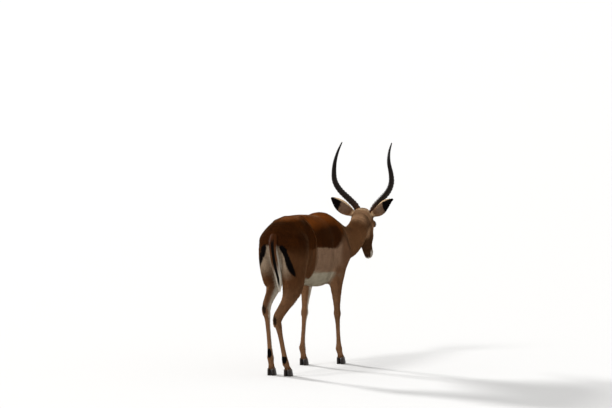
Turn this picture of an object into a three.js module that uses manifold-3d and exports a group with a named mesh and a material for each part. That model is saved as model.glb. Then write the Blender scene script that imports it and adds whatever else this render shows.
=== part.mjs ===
// Impala ram, life size, standing still in mid step with its head low. Millimetres, +Z up.
// It faces -Y, so its right side is -X. The origin is on the floor under the middle of its bounding box.
//
// The flesh is one implicit surface: swept limbs with elliptical sections, blended into each other,
// with soft swellings and hollows for muscle and bone. It is polygonised node by node and parted
// with thin cuts. Horns, hooves, ears and eyes are swept or turned surfaces of their own.
import * as THREE from "three";
import { mergeVertices } from "three/addons/utils/BufferGeometryUtils.js";
import Module from "manifold-3d";

const wasm = await Module();
wasm.setup();

const GAP = 0.3; // between touching pieces
const DEG = Math.PI / 180;

// ---- Axes -------------------------------------------------------------------------------------

// A place on the animal: forward from the buttocks, to its right, and up from the floor.
const place = (forward, right, up) => new THREE.Vector3(-right, -forward, up);
const RIGHT = place(0, 1, 0);

const mix = (a, b, t) => a.clone().lerp(b, t);
const shift = (p, forward, right, up) => p.clone().add(place(forward, right, up));

// ---- Driving dimensions -----------------------------------------------------------------------

const HEAD = {
  poll: place(1195, 84, 840), // middle of the back of the skull
  pitch: 60, // nose down, degrees
  yaw: -2, // towards the animal's left
};
const EYE = { forward: 77, out: 51, up: 24, radius: 17.5 };
const SOLE_TO_CORONET = 38;

// The head's own axes: along the face towards the nose, to its right, and out of the forehead.
const headTurn = new THREE.Matrix4().makeBasis(
  place(
    Math.cos(HEAD.pitch * DEG) * Math.cos(HEAD.yaw * DEG),
    Math.cos(HEAD.pitch * DEG) * Math.sin(HEAD.yaw * DEG),
    -Math.sin(HEAD.pitch * DEG),
  ),
  place(-Math.sin(HEAD.yaw * DEG), Math.cos(HEAD.yaw * DEG), 0),
  place(
    Math.sin(HEAD.pitch * DEG) * Math.cos(HEAD.yaw * DEG),
    Math.sin(HEAD.pitch * DEG) * Math.sin(HEAD.yaw * DEG),
    Math.cos(HEAD.pitch * DEG),
  ),
);
const headRight = new THREE.Vector3().setFromMatrixColumn(headTurn, 1);
const headUp = new THREE.Vector3().setFromMatrixColumn(headTurn, 2);
// A place on the head: along the face from the poll, to its right, and out of the forehead.
const onHead = (along, right, out) =>
  new THREE.Vector3(along, right, out).applyMatrix4(headTurn).add(HEAD.poll);

// ---- Swept limbs ------------------------------------------------------------------------------

// Turns stations [place, half width, half depth, egg] into short straight segments. Egg widens
// the section towards +depth. Lateral is the direction in which the width is measured.
function limb(stations, { lateral = RIGHT, blend = 30, power = 2.2, steps = 4 } = {}) {
  const axis = new THREE.CatmullRomCurve3(stations.map((s) => s[0]), false, "catmullrom");
  const sizes = new THREE.CatmullRomCurve3(
    stations.map((s) => new THREE.Vector3(s[1], s[2], s[3] ?? 0)),
    false,
    "catmullrom",
  );
  const n = (stations.length - 1) * steps;
  const segments = [];
  const box = new THREE.Box3();
  for (let i = 0; i < n; i++) {
    const a = axis.getPoint(i / n);
    const b = axis.getPoint((i + 1) / n);
    const from = sizes.getPoint(i / n);
    const to = sizes.getPoint((i + 1) / n);
    const along = b.clone().sub(a);
    const length = along.length();
    along.divideScalar(length);
    const side = lateral.clone().addScaledVector(along, -lateral.dot(along)).normalize();
    const depth = new THREE.Vector3().crossVectors(side, along);
    if (depth.z < -0.3) depth.negate();
    segments.push({ a, along, length, side, depth, from, to, first: i === 0, last: i === n - 1 });
    const reach = Math.max(from.x, from.y, to.x, to.y);
    box.expandByPoint(a.clone().addScalar(reach)).expandByPoint(a.clone().addScalar(-reach));
    box.expandByPoint(b.clone().addScalar(reach)).expandByPoint(b.clone().addScalar(-reach));
  }
  return { segments, box, blend, power };
}

const q = new THREE.Vector3();
// Distance from p to a limb's surface, negative inside. Exact along the ray from the axis.
function limbDistance(l, p) {
  let best = Infinity;
  for (const s of l.segments) {
    q.subVectors(p, s.a);
    const along = q.dot(s.along);
    const t = Math.min(1, Math.max(0, along / s.length));
    const over = along - t * s.length;
    q.addScaledVector(s.along, -t * s.length);
    const depth = q.dot(s.depth);
    const b = s.from.y + (s.to.y - s.from.y) * t;
    const egg = s.from.z + (s.to.z - s.from.z) * t;
    const lean = Math.max(-1, Math.min(1, depth / b));
    const a = (s.from.x + (s.to.x - s.from.x) * t) * (1 + egg * lean);
    const cap = Math.min(a, b) * 0.9;
    const r =
      (Math.abs(q.dot(s.side) / a) ** l.power +
        Math.abs(depth / b) ** l.power +
        Math.abs(over / cap) ** l.power) **
      (1 / l.power);
    const d = r < 1e-6 ? -Math.min(a, b) : q.length() * (1 - 1 / r);
    if (d < best) best = d;
  }
  return best;
}

// ---- Trunk, neck and head ---------------------------------------------------------------------

const trunk = limb(
  [
    [place(48, 0, 748), 66, 64],
    [place(100, 0, 747), 102, 112],
    [place(175, 0, 738), 120, 150],
    [place(275, 0, 727), 120, 172],
    [place(385, 0, 712), 130, 186],
    [place(490, 0, 696), 138, 196],
    [place(590, 4, 675), 136, 207],
    [place(680, 8, 669), 122, 206],
    [place(760, 12, 668), 106, 188],
    [place(840, 22, 664), 86, 152],
    [place(902, 32, 656), 66, 108],
  ],
  { power: 2.3 },
);
const neck = limb(
  [
    [place(740, 12, 724), 88, 130],
    [place(820, 24, 710), 84, 126],
    [place(900, 42, 690), 78, 116],
    [place(980, 57, 690), 70, 102],
    [place(1050, 72, 705), 64, 90],
    [place(1118, 83, 750), 60, 76],
    [place(1180, 84, 814), 51, 56],
  ],
  { blend: 70 },
);
const head = limb(
  [
    [onHead(8, 0, 0), 45, 50],
    [onHead(45, 0, 0), 53, 60],
    [onHead(88, 0, -4), 54, 61],
    [onHead(128, 0, -8), 49, 54],
    [onHead(168, 0, -10), 41.5, 43],
    [onHead(208, 0, -9), 33.5, 34],
    [onHead(248, 0, -7), 29, 28],
    [onHead(276, 0, -7), 23.5, 22],
  ],
  { lateral: headRight, blend: 34 },
);

// ---- Legs -------------------------------------------------------------------------------------

const FEMUR = 213;
const SHANK = 262;
const HIND_CANNON = 284;
const FOREARM = 226;
const FORE_CANNON = 208;

// The point a bone's length from a joint, at an angle forward of straight down.
const hang = (from, length, angle, right) =>
  place(
    -from.y + length * Math.sin(angle * DEG),
    right,
    from.z - length * Math.cos(angle * DEG),
  );

// Joints of a hind leg from its hip, by the angle of each bone and how far out each joint is.
function hindJoints({ side, hip, femur, shank, cannon, out, toe }) {
  const from = place(hip[0], side * hip[1], hip[2]);
  const stifle = hang(from, FEMUR, femur, side * out[0]);
  const hock = hang(stifle, SHANK, shank, side * out[1]);
  const fetlock = hang(hock, HIND_CANNON, cannon, side * out[2]);
  const coronet = place(-fetlock.y + toe, side * (out[2] + 4), SOLE_TO_CORONET);
  return { side, hip: from, stifle, hock, fetlock, coronet };
}

const leftHind = hindJoints({
  side: -1, hip: [150, 74, 745], femur: 32, shank: -47, cannon: 6, out: [78, 66, 54], toe: 26,
});
const rightHind = hindJoints({
  side: 1, hip: [150, 78, 738], femur: -2, shank: -42, cannon: 26, out: [92, 42, 42], toe: 26,
});

function hindLimbs({ hip, stifle, hock, fetlock, coronet }) {
  const point = shift(hock, -30, 0, 26); // the point of the hock
  return [
    limb(
      [
        [shift(hip, 4, 0, 30), 46, 106],
        [shift(mix(hip, stifle, 0.3), -16, 0, 0), 52, 136],
        [shift(mix(hip, stifle, 0.7), -46, 0, 0), 50, 130],
        [shift(mix(stifle, hock, 0.12), -40, 0, -4), 45, 98],
        [shift(mix(stifle, hock, 0.34), -12, 0, -4), 36, 64],
        [mix(stifle, hock, 0.58), 28, 42],
        [mix(stifle, hock, 0.82), 22.5, 30],
        [shift(hock, 2, 0, 0), 22.5, 30],
        [mix(hock, fetlock, 0.14), 20, 25],
        [mix(hock, fetlock, 0.36), 15, 18],
        [mix(hock, fetlock, 0.72), 14, 15.5],
        [mix(hock, fetlock, 0.93), 17, 18],
        [fetlock, 19.5, 20.5],
        [mix(fetlock, coronet, 0.55), 17, 16],
        [shift(coronet, 2, 0, -6), 21, 21],
      ],
      { blend: 44 },
    ),
    limb(
      [
        [shift(mix(stifle, hock, 0.42), -30, 0, 14), 15, 26],
        [mix(shift(stifle, -42, 0, 24), point, 0.78), 11, 20],
        [point, 13, 14],
        [shift(hock, -16, 0, -22), 15, 16],
      ],
      { blend: 26 },
    ),
  ];
}

// Joints of a fore leg from its elbow.
function foreJoints({ side, elbow, forearm, cannon, out, toe }) {
  const from = place(elbow[0], side * elbow[1], elbow[2]);
  const knee = hang(from, FOREARM, forearm, side * out[0]);
  const fetlock = hang(knee, FORE_CANNON, cannon, side * out[1]);
  const coronet = place(-fetlock.y + toe, side * (out[1] + 3), SOLE_TO_CORONET);
  return { side, elbow: from, knee, fetlock, coronet };
}

const leftFore = foreJoints({
  side: -1, elbow: [728, 78, 528], forearm: -13, cannon: -11, out: [74, 72], toe: 30,
});
const rightFore = foreJoints({
  side: 1, elbow: [742, 96, 524], forearm: 5, cannon: 5, out: [96, 100], toe: 24,
});

function foreLimbs({ side, elbow, knee, fetlock, coronet }) {
  const lean = -elbow.x - side * 86; // the shoulder follows its elbow sideways
  const shoulder = place(832, side * 84 + lean, 646);
  return [
    limb(
      [
        [place(676, side * 34 + lean, 838), 26, 50],
        [place(722, side * 66 + lean, 768), 38, 76],
        [place(786, side * 82 + lean, 700), 42, 76],
        [shoulder, 38, 54],
      ],
      { blend: 60 },
    ),
    limb(
      [
        [shoulder, 38, 48],
        [mix(shoulder, elbow, 0.5), 42, 62],
        [shift(elbow, -4, 0, 14), 39, 60],
      ],
      { blend: 50 },
    ),
    limb(
      [
        [shift(elbow, 2, 0, 44), 43, 70],
        [shift(elbow, 2, 0, 0), 42, 62],
        [mix(elbow, knee, 0.25), 36, 50],
        [mix(elbow, knee, 0.55), 27, 34],
        [mix(elbow, knee, 0.84), 20.5, 23],
        [knee, 22, 23],
        [mix(knee, fetlock, 0.16), 17, 18],
        [mix(knee, fetlock, 0.42), 13.5, 15],
        [mix(knee, fetlock, 0.76), 13.5, 14.5],
        [mix(knee, fetlock, 0.94), 17, 18],
        [fetlock, 19, 20],
        [mix(fetlock, coronet, 0.55), 16.5, 16],
        [shift(coronet, 2, 0, -6), 21, 22],
      ],
      { blend: 36 },
    ),
  ];
}

const LIMBS = [
  trunk,
  neck,
  head,
  ...hindLimbs(leftHind),
  ...hindLimbs(rightHind),
  ...foreLimbs(leftFore),
  ...foreLimbs(rightFore),
];

// ---- Swellings and hollows --------------------------------------------------------------------

// Soft bumps added to the surface: [middle, [reach forward, reach sideways, reach up], height].
const bump = (middle, reach, height) => ({ middle, reach, height });
const bothSides = (forward, right, up, reach, height) =>
  [-1, 1].map((side) => bump(place(forward, side * right, up), reach, height));

const BUMPS = [
  ...bothSides(232, 92, 872, [46, 34, 30], 9), // hip bones
  ...bothSides(336, 118, 656, [60, 50, 90], -13), // hollow of the flank
  ...bothSides(20, 60, 728, [30, 34, 36], 8), // seat bones
  ...bothSides(620, 128, 640, [40, 40, 110], -7), // behind the shoulder
  ...bothSides(560, 120, 620, [90, 60, 90], 5), // rib cage
  bump(place(690, 8, 884), [70, 26, 30], 6), // withers
  bump(place(882, 50, 584), [50, 62, 52], 24), // front of the breast
  bump(place(700, 8, 494), [70, 26, 26], 10), // breast bone between the legs
  ...[leftHind, rightHind].flatMap(({ stifle, hock }) => [
    bump(shift(stifle, 12, 0, -4), [34, 34, 34], 8),
    bump(shift(hock, 14, 0, 4), [20, 20, 24], 3),
  ]),
  ...[leftFore, rightFore].flatMap(({ elbow, knee }) => [
    bump(shift(elbow, -46, 0, 18), [24, 30, 26], 8),
    bump(shift(knee, 12, 0, 0), [14, 18, 22], 3),
  ]),
];

// The same on the head, in its own axes: [along, right, out].
const onSkull = (along, right, out, reach, height) => ({ along, right, out, reach, height });
const HEAD_BUMPS = [-1, 1].flatMap((side) => [
  onSkull(73, side * 52, 38, [30, 18, 18], 6), // brow
  onSkull(88, side * 59, 6, [34, 16, 14], 4), // cheek bone under the eye
  onSkull(60, side * 50, -28, [34, 24, 30], 6), // jaw muscle
  onSkull(120, side * 46, 14, [22, 16, 16], -3), // in front of the eye
  onSkull(270, side * 18, 8, [15, 11, 12], 5.5), // nostril wing
  onSkull(206, side * 31, -2, [34, 16, 18], -1.5), // side of the muzzle
  onSkull(58, side * 26, 56, [24, 20, 20], 7), // horn pedicle
  onSkull(-14, side * 34, 22, [28, 22, 26], 6), // corner of the crown, under the ear
]);
HEAD_BUMPS.push(
  onSkull(282, 0, -22, [18, 18, 10], 4), // lips and chin
  onSkull(268, 0, 16, [18, 16, 12], 3), // bare nose
  onSkull(-20, 0, 28, [30, 36, 28], 5), // crown
);

const smoothMin = (a, b, k) => {
  const h = Math.max(k - Math.abs(a - b), 0) / k;
  return Math.min(a, b) - (h * h * k) / 4;
};

const REACH = 90; // a limb further off than this can't change the surface
const onFace = new THREE.Vector3();
const headBack = headTurn.clone().invert();
function flesh(p) {
  let d = Infinity;
  for (const l of LIMBS) {
    const away = l.box.distanceToPoint(p);
    d = smoothMin(d, away > REACH ? away : limbDistance(l, p), l.blend);
  }
  for (const b of BUMPS) {
    const x = (p.y - b.middle.y) / b.reach[0];
    const y = (p.x - b.middle.x) / b.reach[1];
    const z = (p.z - b.middle.z) / b.reach[2];
    d -= b.height * Math.exp(-(x * x + y * y + z * z));
  }
  onFace.subVectors(p, HEAD.poll).applyMatrix4(headBack);
  for (const b of HEAD_BUMPS) {
    const x = (onFace.x - b.along) / b.reach[0];
    const y = (onFace.y - b.right) / b.reach[1];
    const z = (onFace.z - b.out) / b.reach[2];
    d -= b.height * Math.exp(-(x * x + y * y + z * z));
  }
  return d;
}

// ---- Polygonising -----------------------------------------------------------------------------

const slope = new THREE.Vector3();
const probe = new THREE.Vector3();
function gradient(field, p) {
  const h = 0.5;
  ["x", "y", "z"].forEach((axis) => {
    const up = field(probe.copy(p).setComponent("xyz".indexOf(axis), p[axis] + h));
    const down = field(probe.copy(p).setComponent("xyz".indexOf(axis), p[axis] - h));
    slope[axis] = (up - down) / (2 * h);
  });
  return slope;
}

// Two inside nodes that touch only across a face's diagonal would pinch the surface into an edge
// shared by four faces: the outside node nearest to the surface is taken inside.
function fillDiagonals(value, count) {
  const stride = [1, count[0], count[0] * count[1]];
  let filled = true;
  while (filled) {
    filled = false;
    for (let n = 0; n < value.length - stride[1] - stride[2] - 1; n++)
      for (const [u, v] of [[0, 1], [1, 2], [2, 0]]) {
        const face = [n, n + stride[u], n + stride[u] + stride[v], n + stride[v]];
        const inside = face.map((at) => value[at] < 0);
        if (inside[0] !== inside[2] || inside[1] !== inside[3] || inside[0] === inside[1]) continue;
        const outside = face.filter((at, i) => !inside[i]);
        outside.sort((a, b) => value[a] - value[b]);
        value[outside[0]] = -0.01;
        filled = true;
      }
  }
}

// Surface nets: one vertex in each cell that the surface crosses, drawn onto the surface, and one
// quad round each grid edge that it crosses. The grid is a box in the axes of turn.
function polygonise(field, low, high, step, turn = new THREE.Matrix4()) {
  const count = [0, 1, 2].map((i) => Math.ceil((high[i] - low[i]) / step[i]) + 1);
  const index = (i, j, k) => i + count[0] * (j + count[1] * k);
  const corner = (i, j, k) =>
    new THREE.Vector3(low[0] + i * step[0], low[1] + j * step[1], low[2] + k * step[2]);
  const value = new Float32Array(count[0] * count[1] * count[2]);
  const p = new THREE.Vector3();
  for (let k = 0; k < count[2]; k++)
    for (let j = 0; j < count[1]; j++)
      for (let i = 0; i < count[0]; i++) {
        const edge =
          i * j * k === 0 || i === count[0] - 1 || j === count[1] - 1 || k === count[2] - 1;
        p.copy(corner(i, j, k)).applyMatrix4(turn);
        value[index(i, j, k)] = edge ? Math.max(1, field(p)) : field(p);
      }
  fillDiagonals(value, count);
  const vertices = [];
  const cell = new Map();
  for (let k = 0; k < count[2] - 1; k++)
    for (let j = 0; j < count[1] - 1; j++)
      for (let i = 0; i < count[0] - 1; i++) {
        const sum = new THREE.Vector3();
        let crossings = 0;
        for (let axis = 0; axis < 3; axis++)
          for (let n = 0; n < 4; n++) {
            const c = [i, j, k];
            c[(axis + 1) % 3] += n & 1;
            c[(axis + 2) % 3] += n >> 1;
            const far = [...c];
            far[axis] += 1;
            const v0 = value[index(...c)];
            const v1 = value[index(...far)];
            if (v0 < 0 === v1 < 0) continue;
            sum.add(corner(...c).lerp(corner(...far), v0 / (v0 - v1)));
            crossings++;
          }
        if (!crossings) continue;
        sum.divideScalar(crossings).applyMatrix4(turn);
        for (let n = 0; n < 2; n++) {
          const d = field(sum);
          const g = gradient(field, sum);
          const limit = Math.min(...step) * 0.4;
          const move = Math.max(-limit, Math.min(limit, d / Math.max(0.3, g.lengthSq())));
          sum.addScaledVector(g, -move);
        }
        cell.set(index(i, j, k), vertices.length / 3);
        vertices.push(sum.x, sum.y, sum.z);
      }
  const faces = [];
  for (let k = 0; k < count[2] - 1; k++)
    for (let j = 0; j < count[1] - 1; j++)
      for (let i = 0; i < count[0] - 1; i++)
        for (let axis = 0; axis < 3; axis++) {
          const near = [i, j, k];
          const far = [i, j, k];
          far[axis] += 1;
          if (near[(axis + 1) % 3] === 0 || near[(axis + 2) % 3] === 0) continue;
          const v0 = value[index(i, j, k)];
          const v1 = value[index(...far)];
          if (v0 < 0 === v1 < 0) continue;
          const ring = [[1, 1], [0, 1], [0, 0], [1, 0]].map(([b, c]) => {
            const at = [i, j, k];
            at[(axis + 1) % 3] -= b;
            at[(axis + 2) % 3] -= c;
            return cell.get(index(...at));
          });
          if (v0 < 0) faces.push(ring[0], ring[1], ring[2], ring[0], ring[2], ring[3]);
          else faces.push(ring[0], ring[2], ring[1], ring[0], ring[3], ring[2]);
        }
  const geometry = new THREE.BufferGeometry();
  geometry.setAttribute("position", new THREE.Float32BufferAttribute(vertices, 3));
  geometry.setIndex(faces);
  return geometry;
}

// ---- Solids -----------------------------------------------------------------------------------

function solid(geometry, matrix = new THREE.Matrix4()) {
  const bare = new THREE.BufferGeometry();
  bare.setAttribute("position", geometry.getAttribute("position").clone());
  if (geometry.index) bare.setIndex(geometry.index.clone());
  const merged = mergeVertices(bare.applyMatrix4(matrix), 1e-3);
  const mesh = new wasm.Mesh({
    numProp: 3,
    vertProperties: merged.attributes.position.array,
    triVerts: new Uint32Array(merged.index.array),
  });
  const made = new wasm.Manifold(mesh);
  if (made.volume() >= 0) return made;
  const turned = new Uint32Array(merged.index.array);
  for (let i = 0; i < turned.length; i += 3)
    [turned[i + 1], turned[i + 2]] = [turned[i + 2], turned[i + 1]];
  return new wasm.Manifold(
    new wasm.Mesh({ numProp: 3, vertProperties: mesh.vertProperties, triVerts: turned }),
  );
}

function geometryOf(manifold) {
  const mesh = manifold.getMesh();
  const geometry = new THREE.BufferGeometry();
  const position = new THREE.BufferAttribute(new Float32Array(mesh.vertProperties), 3);
  geometry.setAttribute("position", position);
  geometry.setIndex(new THREE.BufferAttribute(new Uint32Array(mesh.triVerts), 1));
  geometry.computeVertexNormals();
  return geometry;
}

const largest = (manifold) =>
  manifold.decompose().reduce((a, b) => (a.volume() > b.volume() ? a : b));

// Keeps the side of a plane that its normal points to, less half the gap.
const keep = (manifold, point, normal) => {
  const n = normal.clone().normalize();
  return manifold.trimByPlane(n.toArray(), n.dot(point) + GAP / 2);
};

// ---- Parting the flesh ------------------------------------------------------------------------

const NECK_BASE = { point: place(826, 20, 735), normal: place(1, 0.08, 0.42) };
const THROAT = { point: onHead(22, 0, -24), normal: place(0.95, 0, -0.31) };
const HOCK_CUT = 95; // above the hock joint
const KNEE_CUT = 80; // above the knee

// The region that a leg takes out of the trunk: a round plug through the haunch or shoulder, and
// everything under it.
function legRegion({ side, centre, radius, inner, floor, span }, grow) {
  const depth = 300;
  const plug = new THREE.CylinderGeometry(1, 1, depth, 22).rotateZ(Math.PI / 2);
  plug.scale(1, radius[0] + grow, radius[1] + grow);
  const middle = inner - grow + depth / 2;
  const plugSolid = solid(
    plug,
    new THREE.Matrix4().setPosition(place(centre[0], side * middle, centre[1])),
  );
  const height = 900;
  const block = new THREE.BoxGeometry(depth, span[1] - span[0] + 2 * grow, height);
  const blockSolid = solid(
    block,
    new THREE.Matrix4().setPosition(
      place((span[0] + span[1]) / 2, side * middle, floor + grow - height / 2),
    ),
  );
  return plugSolid.add(blockSolid);
}

const LEGS = {
  hind_left: {
    side: -1, centre: [150, 640], radius: [176, 150], inner: 34, floor: 590, span: [-40, 306],
  },
  hind_right: {
    side: 1, centre: [144, 634], radius: [180, 150], inner: 34, floor: 584, span: [-240, 300],
  },
  fore_left: {
    side: -1, centre: [752, 610], radius: [112, 96], inner: 42, floor: 560, span: [636, 850],
  },
  fore_right: {
    side: 1, centre: [760, 606], radius: [112, 96], inner: 58, floor: 556, span: [660, 860],
  },
};
const JOINTS = {
  hind_left: leftHind, hind_right: rightHind, fore_left: leftFore, fore_right: rightFore,
};

const fleshIn = (low, high, step) => {
  const a = place(...low);
  const b = place(...high);
  return solid(
    polygonise(
      flesh,
      [Math.min(a.x, b.x), Math.min(a.y, b.y), low[2]],
      [Math.max(a.x, b.x), Math.max(a.y, b.y), high[2]],
      [step[1], step[0], step[2]],
    ),
  );
};

function trunkSolid() {
  let made = fleshIn([-60, -215, 400], [1010, 215, 960], [52, 39, 41]);
  for (const region of Object.values(LEGS)) made = made.subtract(legRegion(region, GAP));
  return largest(keep(made, NECK_BASE.point, NECK_BASE.normal.clone().negate()));
}

function neckSolid() {
  let made = fleshIn([690, -150, 460], [1250, 260, 960], [43, 31, 34]);
  made = keep(made, NECK_BASE.point, NECK_BASE.normal);
  return largest(keep(made, THROAT.point, THROAT.normal.clone().negate()));
}

const EYES = [-1, 1].map((side) => onHead(EYE.forward, side * EYE.out, EYE.up));

function eyeball(grow) {
  return new THREE.SphereGeometry(EYE.radius + grow, 10, 6);
}

function headSolid() {
  const turn = headTurn.clone().setPosition(HEAD.poll);
  const low = [-110, -100, -110];
  const high = [325, 100, 110];
  let made = solid(polygonise(flesh, low, high, [17, 15, 15], turn));
  made = largest(keep(made, THROAT.point, THROAT.normal));
  for (const eye of EYES)
    made = made.subtract(solid(eyeball(GAP), new THREE.Matrix4().setPosition(eye)));
  return made;
}

function upperLeg(name) {
  const { side, knee, hock } = JOINTS[name];
  const middle = hock ?? knee;
  const cut = middle.z + (hock ? HOCK_CUT : KNEE_CUT);
  const { span, centre, radius } = LEGS[name];
  const out = [side * -4, side * 210].sort((a, b) => a - b);
  const around = fleshIn(
    [Math.min(span[0], -middle.y - 90), out[0], cut - 110],
    [centre[0] + radius[0] + 60, out[1], centre[1] + radius[1] + 60],
    hock ? [40, 28, 37] : [32, 25, 33],
  );
  const plugged = around.intersect(legRegion(LEGS[name], 0));
  const behind = keep(plugged, NECK_BASE.point, NECK_BASE.normal.clone().negate());
  return largest(keep(behind, new THREE.Vector3(0, 0, cut), new THREE.Vector3(0, 0, 1)));
}

// The leg from above the hock or knee down, as level rings cast from the bone out to the flesh.
function lowerLeg(name) {
  const { elbow, knee, stifle, hock, fetlock, coronet } = JOINTS[name];
  const middle = hock ?? knee;
  const bones = [coronet, fetlock, middle, stifle ?? elbow];
  const boneAt = (z) => {
    const i = z < fetlock.z ? 0 : z < middle.z ? 1 : 2;
    return mix(bones[i], bones[i + 1], (z - bones[i].z) / (bones[i + 1].z - bones[i].z));
  };
  const bottom = SOLE_TO_CORONET + GAP / 2;
  const top = middle.z + (hock ? HOCK_CUT : KNEE_CUT) - GAP / 2;
  const pastern = fetlock.z - bottom;
  const cannon = middle.z - fetlock.z;
  const levels = [
    ...[0, 0.35, 0.7].map((share) => bottom + pastern * share),
    ...[0, 0.09, 0.2, 0.45, 0.7, 0.86].map((share) => fetlock.z + cannon * share),
    ...[-4, 16, 38].map((above) => middle.z + above),
    (middle.z + 38 + top) / 2,
    top,
  ];
  const rings = levels.map((level) => {
    const centre = boneAt(level);
    return Array.from({ length: 12 }, (_, i) => {
      const angle = (2 * Math.PI * i) / 12;
      const ray = new THREE.Vector3(Math.cos(angle), Math.sin(angle), 0);
      return centre.clone().addScaledVector(ray, castOut(centre, ray));
    });
  });
  return solid(skinRings(rings));
}

// How far the surface is from a point inside it.
function castOut(from, ray) {
  let near = 0;
  let far = 2;
  const at = new THREE.Vector3();
  const inside = (r) => flesh(at.copy(from).addScaledVector(ray, r)) < 0;
  while (inside(far)) {
    near = far;
    far += 2;
  }
  for (let i = 0; i < 12; i++) {
    const half = (near + far) / 2;
    if (inside(half)) near = half;
    else far = half;
  }
  return (near + far) / 2;
}

// ---- Surfaces of rings ------------------------------------------------------------------------

// Joins rings of equal length into one closed surface, with flat ends.
function skinRings(rings) {
  const n = rings[0].length;
  const vertices = rings.flat();
  const faces = [];
  for (let i = 0; i < rings.length - 1; i++)
    for (let j = 0; j < n; j++) {
      const a = i * n + j;
      const b = i * n + ((j + 1) % n);
      faces.push(a, b, b + n, a, b + n, a + n);
    }
  const end = (rings.length - 1) * n;
  for (let j = 1; j < n - 1; j++) faces.push(0, j + 1, j, end, end + j, end + j + 1);
  const geometry = new THREE.BufferGeometry().setFromPoints(vertices);
  geometry.setIndex(faces);
  return geometry;
}

// A ring of points round a centre in the plane of two directions.
const ring = (centre, a, b, n) =>
  Array.from({ length: n }, (_, i) => {
    const angle = (2 * Math.PI * i) / n;
    return centre.clone().addScaledVector(a, Math.cos(angle)).addScaledVector(b, Math.sin(angle));
  });

// ---- Horns ------------------------------------------------------------------------------------

// A lyre: [out, back, up] from the base's middle, then the horn's radius there.
const HORN = [
  [22, 12, -26, 16],
  [34, 0, 30, 19.5],
  [58, 4, 82, 19],
  [95, 10, 122, 18.5],
  [148, 26, 176, 17.5],
  [175, 44, 228, 16.2],
  [178, 57, 282, 14.2],
  [168, 68, 350, 11],
  [160, 40, 408, 7.6],
  [155, -24, 462, 3.2],
];
const HORN_BASE = shift(onHead(58, 0, 50), 0, 0, -10);
const hornForward = place(Math.cos(HEAD.yaw * DEG), Math.sin(HEAD.yaw * DEG), 0);

function hornPath(side) {
  return new THREE.CatmullRomCurve3(
    HORN.map(([out, back, up]) =>
      HORN_BASE.clone()
        .addScaledVector(headRight, side * out)
        .addScaledVector(hornForward, -back)
        .add(new THREE.Vector3(0, 0, up)),
    ),
    false,
    "catmullrom",
  );
}

function hornSolid(side) {
  const path = hornPath(side);
  const radius = new THREE.CatmullRomCurve3(
    HORN.map((h) => new THREE.Vector3(h[3], 0, 0)),
    false,
    "catmullrom",
  );
  const steps = 18;
  const rings = [];
  for (let i = 0; i <= steps; i++) {
    const t = i / steps;
    const r = Math.max(0.8, radius.getPoint(t).x);
    const along = path.getTangent(t);
    const across = new THREE.Vector3().crossVectors(along, hornForward).normalize();
    const fore = new THREE.Vector3().crossVectors(across, along);
    rings.push(
      ring(path.getPoint(t), across.multiplyScalar(r), fore.multiplyScalar(r * 1.12), 8),
    );
  }
  return solid(skinRings(rings));
}

// ---- Ears -------------------------------------------------------------------------------------

const EAR = { length: 182, width: 45, base: [17, 44, 27], sag: 8 };
const EAR_WIDTH = [0.5, 0.74, 0.92, 1, 1, 0.9, 0.7, 0.42, 0.08]; // shares of the width
const EAR_ROLL = [250, 215, 175, 145, 125, 105, 88, 70, 50]; // degrees that the leaf wraps
const EAR_WALL = [19, 15, 8, 5, 4.6, 4.2, 3.8, 3.2, 2.6]; // thick flesh at the root, thin at the tip

// A leaf rolled into a cup: round its width by an angle that opens from base to tip.
function earSolid(side) {
  const root = onHead(EAR.base[0], side * EAR.base[1], EAR.base[2]);
  const along = headRight.clone().multiplyScalar(side * 0.83);
  along.add(new THREE.Vector3(0, 0, 0.58)).addScaledVector(hornForward, -0.16).normalize();
  const open = hornForward.clone().addScaledVector(headRight, side * 0.35);
  open.add(new THREE.Vector3(0, 0, -0.25));
  open.addScaledVector(along, -open.dot(along)).normalize();
  const across = new THREE.Vector3().crossVectors(along, open).normalize();
  const rows = EAR_WIDTH.length;
  const columns = 6;
  const rings = EAR_WIDTH.map((share, i) => {
    const t = i / (rows - 1);
    const roll = EAR_ROLL[i] * DEG;
    const radius = (2 * EAR.width * share) / roll;
    const outer = radius + 2.4;
    const centre = root
      .clone()
      .addScaledVector(along, EAR.length * t)
      .addScaledVector(open, radius * 0.45 + 10 * t * t)
      .addScaledVector(across, -Math.sign(across.z) * EAR.sag * Math.sin(Math.PI * t));
    const wall = (r) =>
      Array.from({ length: columns }, (_, j) => {
        const angle = (j / (columns - 1) - 0.5) * roll;
        return centre
          .clone()
          .addScaledVector(open, -r * Math.cos(angle))
          .addScaledVector(across, r * Math.sin(angle));
      });
    return [...wall(outer), ...wall(Math.max(0.6, outer - EAR_WALL[i])).reverse()];
  });
  return solid(skinRings(rings));
}

// ---- Hooves -----------------------------------------------------------------------------------

const CLAW = { length: 60, width: 23, apart: 12.5 };

// Rings of a claw from sole to coronet: [height, share of the length, share of the width, back].
const CLAW_RINGS = [
  [0, 1, 1, 0],
  [9, 0.98, 1.02, 1],
  [SOLE_TO_CORONET - GAP, 0.7, 0.9, 9],
];

function clawSolid(joints, inner) {
  const { side, coronet, fetlock } = joints;
  const right = -coronet.x + side * (inner ? -CLAW.apart : CLAW.apart);
  const forward = -coronet.y + 8;
  const rings = CLAW_RINGS.map(([height, length, width, back]) =>
    Array.from({ length: 12 }, (_, i) => {
      const angle = (2 * Math.PI * i) / 12;
      const along = Math.cos(angle);
      const narrow = 1 - 0.32 * Math.max(0, along) ** 2; // pointed in front
      const across = Math.sin(angle) * narrow;
      const flat = across * side * (inner ? 1 : -1) > 0 ? 0.82 : 1; // flat where the claws meet
      return place(
        forward + (along * CLAW.length * length) / 2 - back,
        right + (across * flat * CLAW.width * width) / 2,
        height,
      );
    }),
  );
  return solid(skinRings(rings));
}

// ---- Tail -------------------------------------------------------------------------------------

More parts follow.
